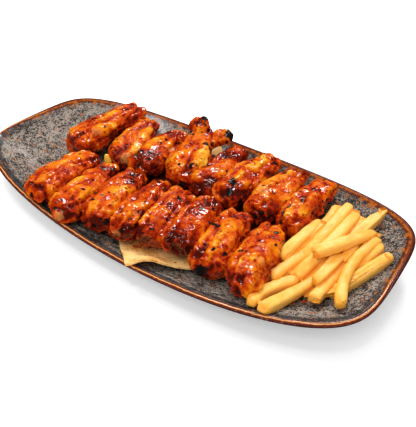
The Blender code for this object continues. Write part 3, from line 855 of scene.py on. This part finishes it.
@dataclass
class Wing:
    """One glazed wing."""

    node: str
    seed: int
    golden: float = 0.5  # how much of the top is golden, 0 to 1
    deep: float = 0.0  # how far its tones lie below those of the others
    chars: tuple[Patch, ...] = ()
    knobs: tuple[Patch, ...] = ()
    # Pale patches: bare flesh and bone, and some painted highlights.
    pale_flesh_and_highlights: tuple[Patch, ...] = ()
    reds: tuple[Patch, ...] = ()
    golds: tuple[Patch, ...] = ()
    voxel: float = 0.56 * MM
    lump: float = 1.8  # mm, the broad unevenness of the meat
    fold: float = 5.0  # mm, long rounded folds with sharp creases between them
    crisp: float = 1.1  # mm, small wrinkles of the crisp skin
    pore: float = 0.30  # mm
    beads: int = 60  # small beads of sauce
    char_share: float = 0.8  # size of the named char marks as a share of the listed one
    spread: float = 0.10  # share by which the wing is wider than its solid
    stretch: float = 0.045  # share by which it is longer

    def build(self, material: bpy.types.Material) -> bpy.types.Object:
        """Makes and dresses the wing."""
        piece = copy_of(self.node, "roast_" + self.node)
        subdivide(piece, 2)
        apply_modifier(piece, "REMESH", mode="VOXEL", voxel_size=self.voxel)
        skin = Skin(piece, self.seed)
        rng = np.random.default_rng(100 + self.seed)
        ridge_and_shade, height = self.relief(skin)
        height = height + self.knuckles(skin, rng)
        blobs, sauce, bits = self.blobs(skin, rng)
        wider = (skin.off * self.spread * MM)[:, None] * skin.side
        wider += (skin.local[:, 0] * self.stretch * MM)[:, None] * skin.axis
        set_points(piece, skin.points + wider + skin.normals * ((height + blobs) * MM)[:, None])
        set_attribute(piece, "ridge_and_shade", ridge_and_shade - self.deep)
        set_attribute(piece, "sauce", np.maximum(sauce, self.cover(skin, self.reds, 0.6)))
        set_attribute(piece, "bits", bits)
        set_attribute(piece, "golden", self.golden_top(skin))
        # Pale patches: bare flesh and bone, and some painted highlights.
        set_attribute(piece, "pale_flesh_and_highlight", self.cover(skin, self.pale_flesh_and_highlights, 0.5))
        set_attribute(piece, "char", self.charring(skin, rng))
        dress(piece, material, Slot.WING, self.node)
        return piece

    def relief(self, skin: Skin) -> tuple[np.ndarray, np.ndarray]:
        """Lumps, folds, wrinkles and pores.

        Args:
            skin: the wing's points.

        Returns:
            How far each point is a ridge, about 0 to 1, lowered on the lower skin as painted shade, and its height in
            mm.
        """
        seed = 10 * self.seed
        local = skin.local
        warp = fractal(local / 12 + seed, seed + 7, 2)[:, None] * (0, 3.5, 3.5)
        broad = fractal(local / 14 + seed, seed, 2)
        folds = np.abs(fractal((local + warp) / (30, 9, 9) + seed, seed + 1, 2))
        folds = np.minimum(folds * 2.2, 1.0)
        wrinkles = 1 - 2 * np.abs(fractal((local + warp) / (6.5, 4.5, 4.5) + seed, seed + 2, 2))
        ends = rise(np.abs(skin.along - 0.48), 0.18, 0.46)
        flanks = 1 - rise(skin.normals[:, 2], 0.1, 0.8)
        rough = 0.25 + 0.75 * np.maximum(ends, flanks * 0.8)
        fine = 1 - 2 * np.abs(fractal(local / (3.2, 2.4, 2.4) + seed, seed + 5, 2))
        pores = fractal(local / 1.7 + seed, seed + 4, 2) + 1.6 * rough * (fine - 0.5)
        height = self.lump * broad + self.fold * 0.5 * (folds - 0.55)
        height += self.crisp * rough * (wrinkles - 0.5) * 1.6 + self.pore * pores
        ridge_and_shade = 0.05 + 0.90 * folds ** 0.6 + 0.30 * broad + 0.70 * rough * (wrinkles - 0.5)
        ridge_and_shade += 0.25 * rough * (fine - 0.5)
        # Rough ends and flanks are made darker; below 20 mm the skin is darkened further as painted shade between and
        # under the wings.
        ridge_and_shade -= 0.25 * rough + 0.35 * (1 - rise(skin.points[:, 2] / MM, 11, 20))
        return ridge_and_shade, height + 0.9

    def knuckles(self, skin: Skin, rng: np.random.Generator) -> np.ndarray:
        """The joint ends, which stand out under the skin, and a few lumps."""
        joints = (
            Patch(0.92, 20, 13, 2.4), Patch(0.90, 125, 12, 2.2), Patch(0.99, 75, 7, -2.6),
            Patch(0.05, 20, 9, 1.8), Patch(0.05, 140, 9, 1.7), Patch(0.0, 85, 6, -1.8),
        )
        lumps = [Patch(p.along, p.turn, p.size, rng.uniform(-0.9, 1.1)) for p in skin.scatter(12, (6, 12), rng)]
        total = np.zeros(len(skin.points))
        for patch in (*joints, *lumps, *self.knobs):
            total += patch.height * np.exp(-((skin.distance(patch) / (patch.size / 2)) ** 2))
        return total

    def blobs(self, skin: Skin, rng: np.random.Generator) -> tuple[np.ndarray, np.ndarray, np.ndarray]:
        """Thick drops of sauce and bits of chilli.

        Args:
            skin: the wing's points.
            rng: the source of chance.

        Returns:
            Their height in mm, and how far each point is under sauce and under chilli, 0 to 1.
        """
        height = np.zeros(len(skin.points))
        sauce = np.zeros(len(skin.points))
        bits = np.zeros(len(skin.points))
        for patch in skin.scatter(40, (2.0, 5.5), rng):
            reach = patch.size / 2
            bulge = np.clip(1 - (skin.distance(patch) / reach) ** 2, 0, 1)
            height = np.maximum(height, 0.28 * reach * np.sqrt(bulge))
            sauce = np.maximum(sauce, bulge)
        for patch in skin.scatter(self.beads, (0.9, 2.2), rng):
            reach = patch.size / 2
            bulge = np.clip(1 - (skin.distance(patch) / reach) ** 2, 0, 1)
            height = np.maximum(height, 0.5 * reach * np.sqrt(bulge))
        for patch in skin.scatter(26, (1.2, 2.8), rng):
            reach = patch.size / 2
            bulge = np.clip(1 - (skin.distance(patch) / reach) ** 2, 0, 1)
            height = np.maximum(height, 0.45 * reach * np.sqrt(bulge))
            bits = np.maximum(bits, bulge)
        return height, sauce, bits

    def cover(self, skin: Skin, patches: Sequence[Patch], soften: float, grain: float = 3.0,
              wander: float = 0.55) -> np.ndarray:
        """How far each point lies in one of the patches.

        Args:
            skin: the wing's points.
            patches: the places.
            soften: how soft their edges are, as a share of their reach.
            grain: mm between the bends of their edges.
            wander: how far the edges bend, as a share of their reach.

        Returns:
            One value from 0 to 1 for each point.
        """
        bends = fractal(skin.local / grain, self.seed + 77, 2)
        total = np.zeros(len(skin.points))
        for patch in patches:
            reach = patch.size / 2 * (1 + wander * bends)
            share = skin.distance(patch) / np.maximum(reach, 0.1)
            total = np.maximum(total, 1 - rise(share, 1 - soften, 1 + soften))
        return np.clip(total, 0, 1)

    def golden_top(self, skin: Skin) -> np.ndarray:
        """Where the skin shows golden through the sauce."""
        facing = rise(skin.normals[:, 2], 0.0, 0.8)
        patches = fractal(skin.local / (16, 9, 9) + 3 * self.seed, self.seed + 50, 2)
        middle = 1 - rise(np.abs(skin.along - 0.45), 0.22, 0.55)
        spread = np.clip((self.golden + 0.9 * patches) * (0.35 + 0.65 * middle) * facing, 0, 1)
        return np.maximum(spread, self.cover(skin, self.golds, 0.7))

    def charring(self, skin: Skin, rng: np.random.Generator) -> np.ndarray:
        """How charred each point is: named spots and scattered specks."""
        specks = skin.scatter(12, (1.0, 2.4), rng)
        marks = [replace(mark, size=mark.size * self.char_share) for mark in self.chars]
        spots = self.cover(skin, marks, 0.35, 1.8, 1.1)
        return np.maximum(0.92 * spots, 0.8 * self.cover(skin, specks, 0.4, 1.2, 0.9))


WINGS = (
    Wing("wing_back_1", 1, 0.45,
         chars=(Patch(0.50, -5, 7), Patch(0.20, 20, 3), Patch(0.65, 75, 2.5), Patch(0.15, -20, 4)),
         knobs=(Patch(0.95, 50, 14, 2.5), Patch(0.72, 45, 12, 2.0)),
         pale_flesh_and_highlights=(Patch(0.75, 45, 7), Patch(0.80, -30, 12)),
         reds=(Patch(0.95, 50, 18), Patch(0.60, 15, 8)),
         golds=(Patch(0.70, 50, 10), Patch(0.35, 95, 14), Patch(0.55, 30, 7))),
    Wing("wing_back_2", 2, 0.50,
         chars=(Patch(0.98, 120, 3), Patch(0.55, 70, 2)),
         knobs=(Patch(0.95, 60, 13, 2.0),),
         pale_flesh_and_highlights=(Patch(0.92, 45, 9),),
         reds=(Patch(1.00, 90, 13), Patch(0.15, 60, 9)),
         golds=(Patch(0.78, 90, 13), Patch(0.50, 50, 9))),
    Wing("wing_back_3", 3, 0.45, 0.12,
         chars=(Patch(0.82, 110, 5), Patch(0.88, 55, 3), Patch(0.98, 80, 5), Patch(0.50, 20, 4),
                Patch(0.40, 110, 3)),
         knobs=(Patch(0.50, 35, 10, 1.6), Patch(0.92, 30, 12, 2.0)),
         pale_flesh_and_highlights=(Patch(0.55, 30, 5),),
         reds=(Patch(0.90, 60, 16), Patch(0.15, 40, 10)),
         golds=(Patch(0.70, 100, 12), Patch(0.50, 95, 9), Patch(0.80, 30, 7))),
    Wing("wing_back_4", 4, 0.60,
         chars=(Patch(0.02, 110, 9), Patch(0.20, 150, 4.5), Patch(0.26, 135, 4), Patch(0.40, 50, 4.5),
                Patch(0.30, 20, 5), Patch(0.43, 30, 4), Patch(0.42, 75, 3.5), Patch(0.80, 50, 6),
                Patch(0.99, 30, 5), Patch(0.85, 95, 2.5), Patch(0.08, 0, 6)),
         knobs=(Patch(0.02, 120, 10, 3.0), Patch(0.08, 0, 10, 2.5), Patch(0.99, 100, 9, 2.5)),
         reds=(Patch(0.97, 60, 14), Patch(0.05, 20, 12)),
         golds=(Patch(0.70, 30, 12), Patch(0.58, 100, 14), Patch(0.55, 50, 10))),
    Wing("wing_back_5", 5, 0.40, 0.22,
         chars=(Patch(0.55, 20, 5.5), Patch(0.45, 0, 5.5), Patch(0.30, 130, 4.5), Patch(0.30, 60, 3),
                Patch(0.62, 35, 3.5)),
         knobs=(Patch(0.50, 10, 12, 2.0), Patch(0.85, 100, 10, 1.8)),
         reds=(Patch(0.65, 120, 6), Patch(0.85, 40, 10), Patch(0.98, 60, 12), Patch(0.30, 80, 16)),
         golds=(Patch(0.85, 120, 9), Patch(0.70, 0, 8), Patch(0.40, 110, 9))),
    Wing("wing_back_6", 6, 0.65,
         chars=(Patch(0.80, 85, 7), Patch(0.91, 60, 6), Patch(0.87, 10, 5), Patch(0.10, 130, 5),
                Patch(0.15, 30, 4), Patch(0.12, 70, 4), Patch(0.50, 50, 2.5)),
         knobs=(Patch(0.88, 50, 17, 3.5), Patch(0.70, 110, 8, -2.0)),
         reds=(Patch(0.86, 45, 18), Patch(0.50, 50, 5), Patch(0.40, 110, 5), Patch(0.28, 100, 6)),
         golds=(Patch(0.50, 100, 14), Patch(0.45, 20, 13), Patch(0.62, 80, 9))),
    Wing("wing_back_7", 7, 0.60,
         chars=(Patch(0.60, 5, 4.5), Patch(0.30, 110, 5.5), Patch(0.20, 130, 5), Patch(0.95, 50, 4),
                Patch(1.00, 80, 4), Patch(0.72, 75, 3), Patch(0.93, 15, 3)),
         knobs=(Patch(0.72, 110, 13, 2.2), Patch(0.70, 25, 12, 1.8), Patch(0.95, 60, 11, 2.0)),
         pale_flesh_and_highlights=(Patch(0.75, 110, 8), Patch(0.12, -10, 9)),
         reds=(Patch(0.96, 70, 14), Patch(0.12, 60, 9), Patch(0.75, 75, 5)),
         golds=(Patch(0.75, 105, 15), Patch(0.70, 30, 12), Patch(0.50, 60, 8))),
    Wing("wing_back_8", 8, 0.50,
         chars=(Patch(0.65, 20, 5), Patch(0.55, -5, 4.5), Patch(0.60, 100, 3.5), Patch(0.68, 70, 2.5),
                Patch(0.80, 110, 3.5), Patch(0.95, 120, 5), Patch(0.25, 100, 3)),
         knobs=(Patch(0.45, 60, 14, 2.2), Patch(0.97, 90, 11, 2.2)),
         reds=(Patch(0.98, 90, 14), Patch(0.90, 20, 10), Patch(0.62, 90, 5)),
         golds=(Patch(0.42, 60, 14), Patch(0.85, 110, 9), Patch(0.80, 60, 9))),
    Wing("wing_front_1", 9, 0.70,
         chars=(Patch(0.20, 40, 3), Patch(0.12, 80, 3), Patch(1.00, 60, 3)),
         knobs=(Patch(0.92, 30, 12, 2.4), Patch(0.98, 110, 10, 2.2)),
         reds=(Patch(0.72, -10, 9), Patch(0.98, 80, 12), Patch(0.10, 50, 10)),
         golds=(Patch(0.80, 20, 9), Patch(0.50, 80, 18), Patch(0.60, 120, 12))),
    Wing("wing_front_2", 10, 0.65,
         chars=(Patch(0.15, 90, 6), Patch(0.10, 40, 4), Patch(0.97, 120, 2.5), Patch(0.90, 90, 1.8),
                Patch(0.85, 60, 1.8)),
         knobs=(Patch(1.00, 60, 8, 3.0), Patch(0.95, 120, 9, 2.0)),
         pale_flesh_and_highlights=(Patch(1.00, 60, 5),),
         reds=(Patch(0.97, 90, 12), Patch(0.15, 60, 10)),
         golds=(Patch(0.50, 100, 15), Patch(0.65, 50, 11))),
    Wing("wing_front_3", 11, 0.50,
         chars=(Patch(0.80, 110, 4.5), Patch(0.55, -10, 6), Patch(0.72, -20, 5.5), Patch(0.90, 20, 4.5),
                Patch(1.00, 10, 5), Patch(0.65, 140, 3.5), Patch(0.70, 95, 2.5), Patch(0.12, 80, 5)),
         knobs=(Patch(0.90, 60, 18, 2.5),),
         reds=(Patch(0.28, 70, 11), Patch(0.10, 60, 10), Patch(0.95, 40, 9)),
         golds=(Patch(0.55, 90, 15), Patch(0.45, 50, 9), Patch(0.85, 80, 8))),
    Wing("wing_front_4", 12, 0.50,
         chars=(Patch(0.12, 90, 5), Patch(0.97, 50, 4), Patch(0.20, 40, 3), Patch(0.55, 60, 2)),
         knobs=(Patch(1.00, 115, 8, 3.0), Patch(1.00, 80, 6, -1.5), Patch(0.92, 40, 12, 2.0)),
         pale_flesh_and_highlights=(Patch(1.00, 120, 6), Patch(0.75, 60, 4)),
         reds=(Patch(0.42, 50, 9), Patch(0.97, 50, 13), Patch(0.15, 60, 10)),
         golds=(Patch(0.60, 70, 11), Patch(0.65, 120, 9), Patch(0.80, 60, 8))),
    Wing("wing_front_5", 13, 0.50,
         chars=(Patch(0.70, 55, 3.5), Patch(0.28, 70, 4), Patch(0.90, 70, 3), Patch(0.95, 110, 2.5)),
         knobs=(Patch(0.94, 70, 16, 3.0), Patch(0.87, 15, 7, 1.5)),
         pale_flesh_and_highlights=(Patch(0.87, 20, 7),),
         reds=(Patch(0.95, 80, 16), Patch(0.50, 80, 8), Patch(0.25, 50, 11)),
         golds=(Patch(0.60, 110, 12), Patch(0.60, 50, 9), Patch(0.78, 40, 7))),
    Wing("wing_front_6", 14, 0.50, 0.24,
         chars=(Patch(0.50, 20, 6), Patch(0.40, 80, 4), Patch(0.30, 50, 4), Patch(0.80, -10, 4)),
         knobs=(Patch(0.92, 60, 19, 3.2), Patch(0.10, 60, 9, 2.2)),
         reds=(Patch(0.93, 70, 20), Patch(0.72, 60, 9), Patch(0.20, 60, 10), Patch(0.45, 90, 16)),
         golds=(Patch(0.60, 110, 12), Patch(0.55, 70, 10), Patch(0.72, 30, 7))),
    Wing("wing_front_7", 15, 0.80,
         chars=(Patch(0.45, 130, 6), Patch(0.78, 40, 4), Patch(1.00, 110, 9), Patch(1.00, 140, 6),
                Patch(0.82, 75, 3), Patch(0.20, 70, 2)),
         knobs=(Patch(1.00, 125, 10, 3.2), Patch(0.60, 60, 16, 2.0)),
         reds=(Patch(0.88, 120, 10), Patch(0.95, 30, 11)),
         golds=(Patch(0.60, 65, 18), Patch(0.40, 60, 14), Patch(0.85, 90, 8))),
    Wing("wing_front_8", 16, 0.65,
         chars=(Patch(0.65, 130, 4), Patch(0.65, 110, 3.5), Patch(0.30, 20, 7), Patch(1.00, 80, 3),
                Patch(0.42, 45, 3.5), Patch(0.22, 60, 4)),
         knobs=(Patch(0.30, 100, 9, 2.0), Patch(0.97, 110, 12, 2.4), Patch(0.65, 55, 16, 1.8)),
         pale_flesh_and_highlights=(Patch(0.50, 85, 5), Patch(0.72, 55, 6)),
         reds=(Patch(0.98, 115, 14), Patch(0.30, 20, 11), Patch(0.70, 95, 5)),
         golds=(Patch(0.70, 60, 15), Patch(0.30, 100, 8), Patch(0.80, 110, 12), Patch(0.95, -10, 14))),
)


# ---------------------------------------------------------------- fries


@dataclass(frozen=True)
class Fry:
    """One bent bar of potato: three places in mm on its centre line, and its thickness in mm."""

    start: tuple[float, float, float]
    middle: tuple[float, float, float]
    end: tuple[float, float, float]
    wide: float = 8.6
    high: float = 8.4
    point: float = 0.0  # how far its end narrows, as a share


@dataclass
class FryHeap:
    """Separate fries over a smaller core."""

    stations: int = 11
    wobble: float = 0.55  # mm
    grain: float = 0.22  # mm
    corner: tuple[float, float, float] = (106.1, -82.1, 13.3)  # mm, where the heap's box begins
    sink: float = 3.4  # mm, how far the core lies inside the heap
    fries: tuple[Fry, ...] = (
        Fry((105, -27, 27), (110, -5, 31), (113, 25, 30), 8.8),
        Fry((114, 10, 22), (115, 34, 25), (114, 55, 25)),
        Fry((119, -16, 25), (122, 11, 30), (124, 54, 31), 9.0),
        Fry((124, -35, 25), (130, 1, 30), (133, 48, 31), 9.2),
        Fry((137, 10, 25), (138, 32, 27), (139, 49, 28)),
        Fry((137, 4, 24), (145, 42, 30), (152, 60, 36), 9.0, 8.4, 0.75),
        Fry((146, -7, 31), (147, 6, 32), (148, 21, 31), 7.6),
        Fry((127, -17, 37), (141, 1, 40), (155, 27, 38), 9.2),
        Fry((164, -49, 34), (154, -13, 34), (160, 24, 36), 8.4),
        Fry((153, -16, 26), (158, 3, 30), (164, 22, 34), 8.2),
        Fry((150, -35, 23), (163, -10, 30), (174, 12, 38), 8.8),
        Fry((144, -49, 27), (146, -28, 27), (147, 0, 27), 9.0),
        Fry((139, -37, 31), (141, -21, 31), (142, 0, 30), 9.0),
        Fry((113, -78, 31), (113, -56, 24), (126, -33, 23), 8.6),
        Fry((122, -79, 32), (128, -53, 25), (138, -24, 25), 9.0),
        Fry((110, -46, 26), (114, -27, 26), (120, 0, 25), 9.4),
        Fry((120, -48, 18), (126, -12, 20), (130, 30, 20)),
        Fry((133, -40, 19), (138, -5, 21), (142, 36, 21)),
        Fry((150, -28, 20), (149, 4, 23), (151, 34, 25)),
        Fry((119, -22, 21), (136, 2, 23), (160, 12, 27)),
        Fry((126, 42, 22), (140, 20, 24), (160, 4, 27)),
    )

    def build(self) -> list[bpy.types.Object]:
        """Makes and dresses the fries and their core."""
        material = FriedPotato().material()
        low = np.array(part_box("fries")[0]) / MM
        shift = low - np.array(self.corner)
        made = []
        for index, fry in enumerate(self.fries):
            made.append(self.fry(index, fry, shift))
        core = self.core()
        for piece in made:
            dress(piece, material, Slot.FRY)
        dress(core, material, Slot.FRY, "fries")
        return made

    def core(self) -> bpy.types.Object:
        """The heap's own solid, drawn in so that the separate fries cover it, and browned a little all over as painted
        shade where it shows between them.
        """
        piece = copy_of("fries", "fry_core")
        apply_modifier(piece, "REMESH", mode="VOXEL", voxel_size=1.3 * MM)
        set_points(piece, points_of(piece) - normals_of(piece) * self.sink * MM)
        count = len(piece.data.vertices)
        set_attribute(piece, "edge", np.zeros(count))
        # The tip colour, spread thin over the whole core, is painted shade between the fries.
        set_attribute(piece, "tip", np.full(count, 0.6))
        return piece

    def fry(self, index: int, fry: Fry, shift: np.ndarray) -> bpy.types.Object:
        """Extrudes a bar a station at a time, bends it along its line and rounds it."""
        deselect()
        bpy.ops.mesh.primitive_cube_add(size=1)
        piece = bpy.context.object
        piece.name = f"fry_{index + 1}"
        bpy.ops.object.mode_set(mode="EDIT")
        bpy.ops.mesh.select_all(action="DESELECT")
        bpy.ops.object.mode_set(mode="OBJECT")
        for face in piece.data.polygons:
            face.select = face.normal.z > 0.9
        bpy.ops.object.mode_set(mode="EDIT")
        bpy.context.tool_settings.mesh_select_mode = (False, False, True)
        for _ in range(self.stations - 2):
            bpy.ops.mesh.extrude_region_move(TRANSFORM_OT_translate={"value": (0, 0, 1)})
        bpy.ops.object.mode_set(mode="OBJECT")
        points = points_of(piece)
        s = (points[:, 2] - points[:, 2].min()) / np.ptp(points[:, 2])
        start, middle, end = (np.array(p, float) + shift for p in (fry.start, fry.middle, fry.end))
        shares = ((1 - s) * (1 - 2 * s), 4 * s * (1 - s), s * (2 * s - 1))
        line = sum(share[:, None] * place for share, place in zip(shares, (start, middle, end)))
        ahead = (4 * s - 3)[:, None] * start + (4 - 8 * s)[:, None] * middle + (4 * s - 1)[:, None] * end
        ahead /= np.linalg.norm(ahead, axis=1)[:, None]
        side = np.cross((0, 0, 1), ahead)
        side /= np.linalg.norm(side, axis=1)[:, None]
        up = np.cross(ahead, side)
        phase = 1.9 * index
        swell = 1 + 0.08 * np.sin(phase + 4 * s) - 0.16 * np.exp(-((np.minimum(s, 1 - s) / 0.07) ** 2))
        swell *= 1 - fry.point * rise(s, 0.55, 1.0)
        slant = 0.9 * math.sin(phase * 2.3) * points[:, 0] * (np.abs(2 * s - 1) > 0.9)
        place = line + (points[:, 0] * fry.wide * swell)[:, None] * side
        place += (points[:, 1] * fry.high * swell)[:, None] * up + (slant * 3)[:, None] * ahead
        set_points(piece, place * MM)
        apply_modifier(piece, "BEVEL", width=2.7 * MM, segments=3, limit_method="ANGLE", angle_limit=0.9)
        subdivide(piece, 2)
        points, normals = points_of(piece), normals_of(piece)
        fine = np.linspace(0, 1, 61)[:, None]
        centre = (1 - fine) * (1 - 2 * fine) * start + 4 * fine * (1 - fine) * middle + fine * (2 * fine - 1) * end
        away = np.linalg.norm(points[:, None] / MM - centre[None], axis=2).min(1)
        height = self.wobble * fractal(points / (7 * MM), 200 + index, 3)
        height += self.grain * fractal(points / (1.8 * MM), 300 + index, 2)
        set_points(piece, points + normals * (height * MM)[:, None])
        # Edge: the fry's outer corners, where cream is painted as a highlight.
        set_attribute(piece, "edge", rise(away, 4.0, 5.4))
        ends = np.linalg.norm(points / MM - (end if index % 2 else start), axis=1)
        set_attribute(piece, "tip", (1 - rise(ends, 3, 12)) * (0.4 + 0.6 * (index % 3 == 1)))
        return piece


# ---------------------------------------------------------------- sauce drops and scraps


@dataclass(frozen=True)
class Drop:
    """A drop of sauce or a scrap of pepper: its place in mm, length and width in mm, and turn in degrees."""

    place: tuple[float, float]
    length: float
    width: float
    turn: float = 0.0
    tall: float = 0.0  # mm, or 0 for a drop that lies flat


@dataclass
class Scraps:
    """Sauce on the plate and bread, and a scrap of yellow pepper between the wings."""

    height: float = 0.32  # of a drop's width
    drops: tuple[Drop, ...] = (
        Drop((2.9, -66.8), 7.5, 4.5, 20), Drop((56.3, -53.8), 5.0, 3.6, 40), Drop((58.5, -56.5), 2.6, 2.0, 0),
        Drop((91.1, -66.3), 5.0, 2.6, 30), Drop((95.0, -69.0), 2.2, 1.8, 0), Drop((137.0, -45.0), 5.5, 3.5, 60),
        Drop((132.0, -52.0), 3.0, 2.2, 10), Drop((-16.0, -78.0), 3.0, 2.0, 70), Drop((-62.0, -80.0), 2.5, 1.8, 0),
        Drop((40.0, -66.0), 2.4, 1.8, 30), Drop((20.0, -76.0), 1.8, 1.4, 0), Drop((74.0, -66.0), 2.6, 1.8, 10),
        Drop((70.0, 2.0), 4.0, 2.5, 0), Drop((84.0, 34.0), 4.0, 3.0, 0), Drop((-33.0, 16.0), 7.0, 5.0, 30),
        Drop((-112.0, -70.0), 2.0, 1.5, 0),
    )
    pepper: Drop = Drop((-79.5, -6.5), 6.0, 4.2, 20, 13.0)
    pepper_lift: float = 16.0  # mm, over the bread, on the wings beside it

    def build(self, grounds: Sequence[bpy.types.Object]) -> None:
        """Makes and dresses the drops and the scrap.

        Args:
            grounds: the finished pieces that they may lie on.
        """
        bpy.context.view_layer.update()
        trees = [
            BVHTree.FromPolygons([v.co for v in piece.data.vertices], [p.vertices for p in piece.data.polygons])
            for piece in grounds
        ]
        made = [self.blob(index, drop, trees, 0.0) for index, drop in enumerate(self.drops)]
        dress(join(made, "sauce_drops"), Sauce().material(), Slot.WING)
        scrap = self.blob(len(self.drops), self.pepper, trees, self.pepper_lift)
        scrap.name = "yellow_pepper"
        dress(scrap, YellowPepper().material(), Slot.WING)

    def blob(self, index: int, drop: Drop, trees: Sequence[BVHTree], lift: float) -> bpy.types.Object:
        """A flattened, uneven lump lying on what is under it.

        Args:
            index: which lump, for its unevenness.
            drop: its place and size.
            trees: the surfaces under it.
            lift: mm above them.

        Returns:
            The new object.
        """
        deselect()
        bpy.ops.mesh.primitive_ico_sphere_add(subdivisions=4, radius=0.5)
        piece = bpy.context.object
        x, y = (value * MM for value in drop.place)
        found = [tree.ray_cast(Vector((x, y, 0.2)), Vector((0, 0, -1)))[0] for tree in trees]
        ground = max(place.z for place in found if place)
        points = points_of(piece)
        uneven = 1 + 0.35 * fractal(points * 2.2 + 9.1 * index, 400 + index, 2)
        points *= uneven[:, None]
        points = points * (drop.length, drop.width, drop.tall or drop.width * self.height) * MM
        angle = math.radians(drop.turn)
        turned = points[:, :2] @ np.array([[math.cos(angle), math.sin(angle)], [-math.sin(angle), math.cos(angle)]])
        place = np.column_stack([turned[:, 0] + x, turned[:, 1] + y, points[:, 2] + ground + lift * MM])
        set_points(piece, place)
        return piece


# ---------------------------------------------------------------- scene


@dataclass
class Studio:
    """Pale floor, soft lights and the camera."""

    lens: float = 49.81
    eye: tuple[float, float, float] = (0.2396, -0.3092, 0.3290)
    aim: tuple[float, float, float] = (0.0312, -0.0102, 0.0233)

    def build(self) -> None:
        """Sets the stage."""
        deselect()
        bpy.ops.mesh.primitive_plane_add(size=8)
        floor = bpy.context.object
        floor.name = "floor"
        shader = Shader("pale_floor", Specular_IOR_Level=0.0, Emission_Strength=0.295)
        shader.set(Base_Color=(0.93, 0.93, 0.93), Roughness=0.9, Emission_Color=(1.0, 1.0, 1.0))
        floor.data.materials.append(shader.material)
        floor.visible_glossy = False
        world = bpy.data.worlds.new("studio")
        bpy.context.scene.world = world
        world.use_nodes = True
        background = world.node_tree.nodes["Background"]
        background.inputs[0].default_value = (1.0, 1.0, 1.0, 1.0)
        background.inputs[1].default_value = 0.72
        world.cycles_visibility.glossy = False
        self.light("back_softbox", (-0.25, 0.75, 0.85), (0.42, 0.22), 9)
        self.light("top_softbox", (-0.36, -0.10, 1.0), (0.42, 0.11), 2.0)
        self.light("front_softbox", (0.10, -0.28, 1.0), (0.13, 0.13), 1.2)
        self.light("front_fill", (0.15, -0.8, 1.0), (0.4, 0.4), 3).visible_glossy = False
        camera = bpy.data.cameras.new("camera")
        camera.lens = self.lens
        camera.clip_start = 0.01
        holder = bpy.data.objects.new("camera", camera)
        bpy.context.scene.collection.objects.link(holder)
        holder.location = self.eye
        ahead = Vector(self.aim) - Vector(self.eye)
        holder.rotation_euler = ahead.to_track_quat("-Z", "Y").to_euler()
        bpy.context.scene.camera = holder
        bpy.context.scene.view_settings.view_transform = "Standard"

    def light(self, name: str, place: tuple[float, float, float], size: tuple[float, float],
              watts: float) -> bpy.types.Object:
        """Adds a rectangular area light aimed at the plate, and returns it."""
        lamp = bpy.data.lights.new(name, "AREA")
        lamp.shape = "RECTANGLE"
        lamp.size, lamp.size_y = size
        lamp.energy = watts
        holder = bpy.data.objects.new(name, lamp)
        bpy.context.scene.collection.objects.link(holder)
        holder.location = place
        holder.rotation_euler = (Vector(self.aim) - Vector(place)).to_track_quat("-Z", "Y").to_euler()
        return holder


def main() -> None:
    """Builds every piece in order."""
    logging.basicConfig(level=logging.INFO, format="%(name)s %(message)s")
    plate = Plate().build()
    skin = GlazedSkin().material()
    wings = [wing.build(skin) for wing in WINGS]
    bread = Flatbread().build(wings)
    FryHeap().build()
    Scraps().build([plate, bread])
    Studio().build()
    deselect()


if __name__ == "__main__":
    main()
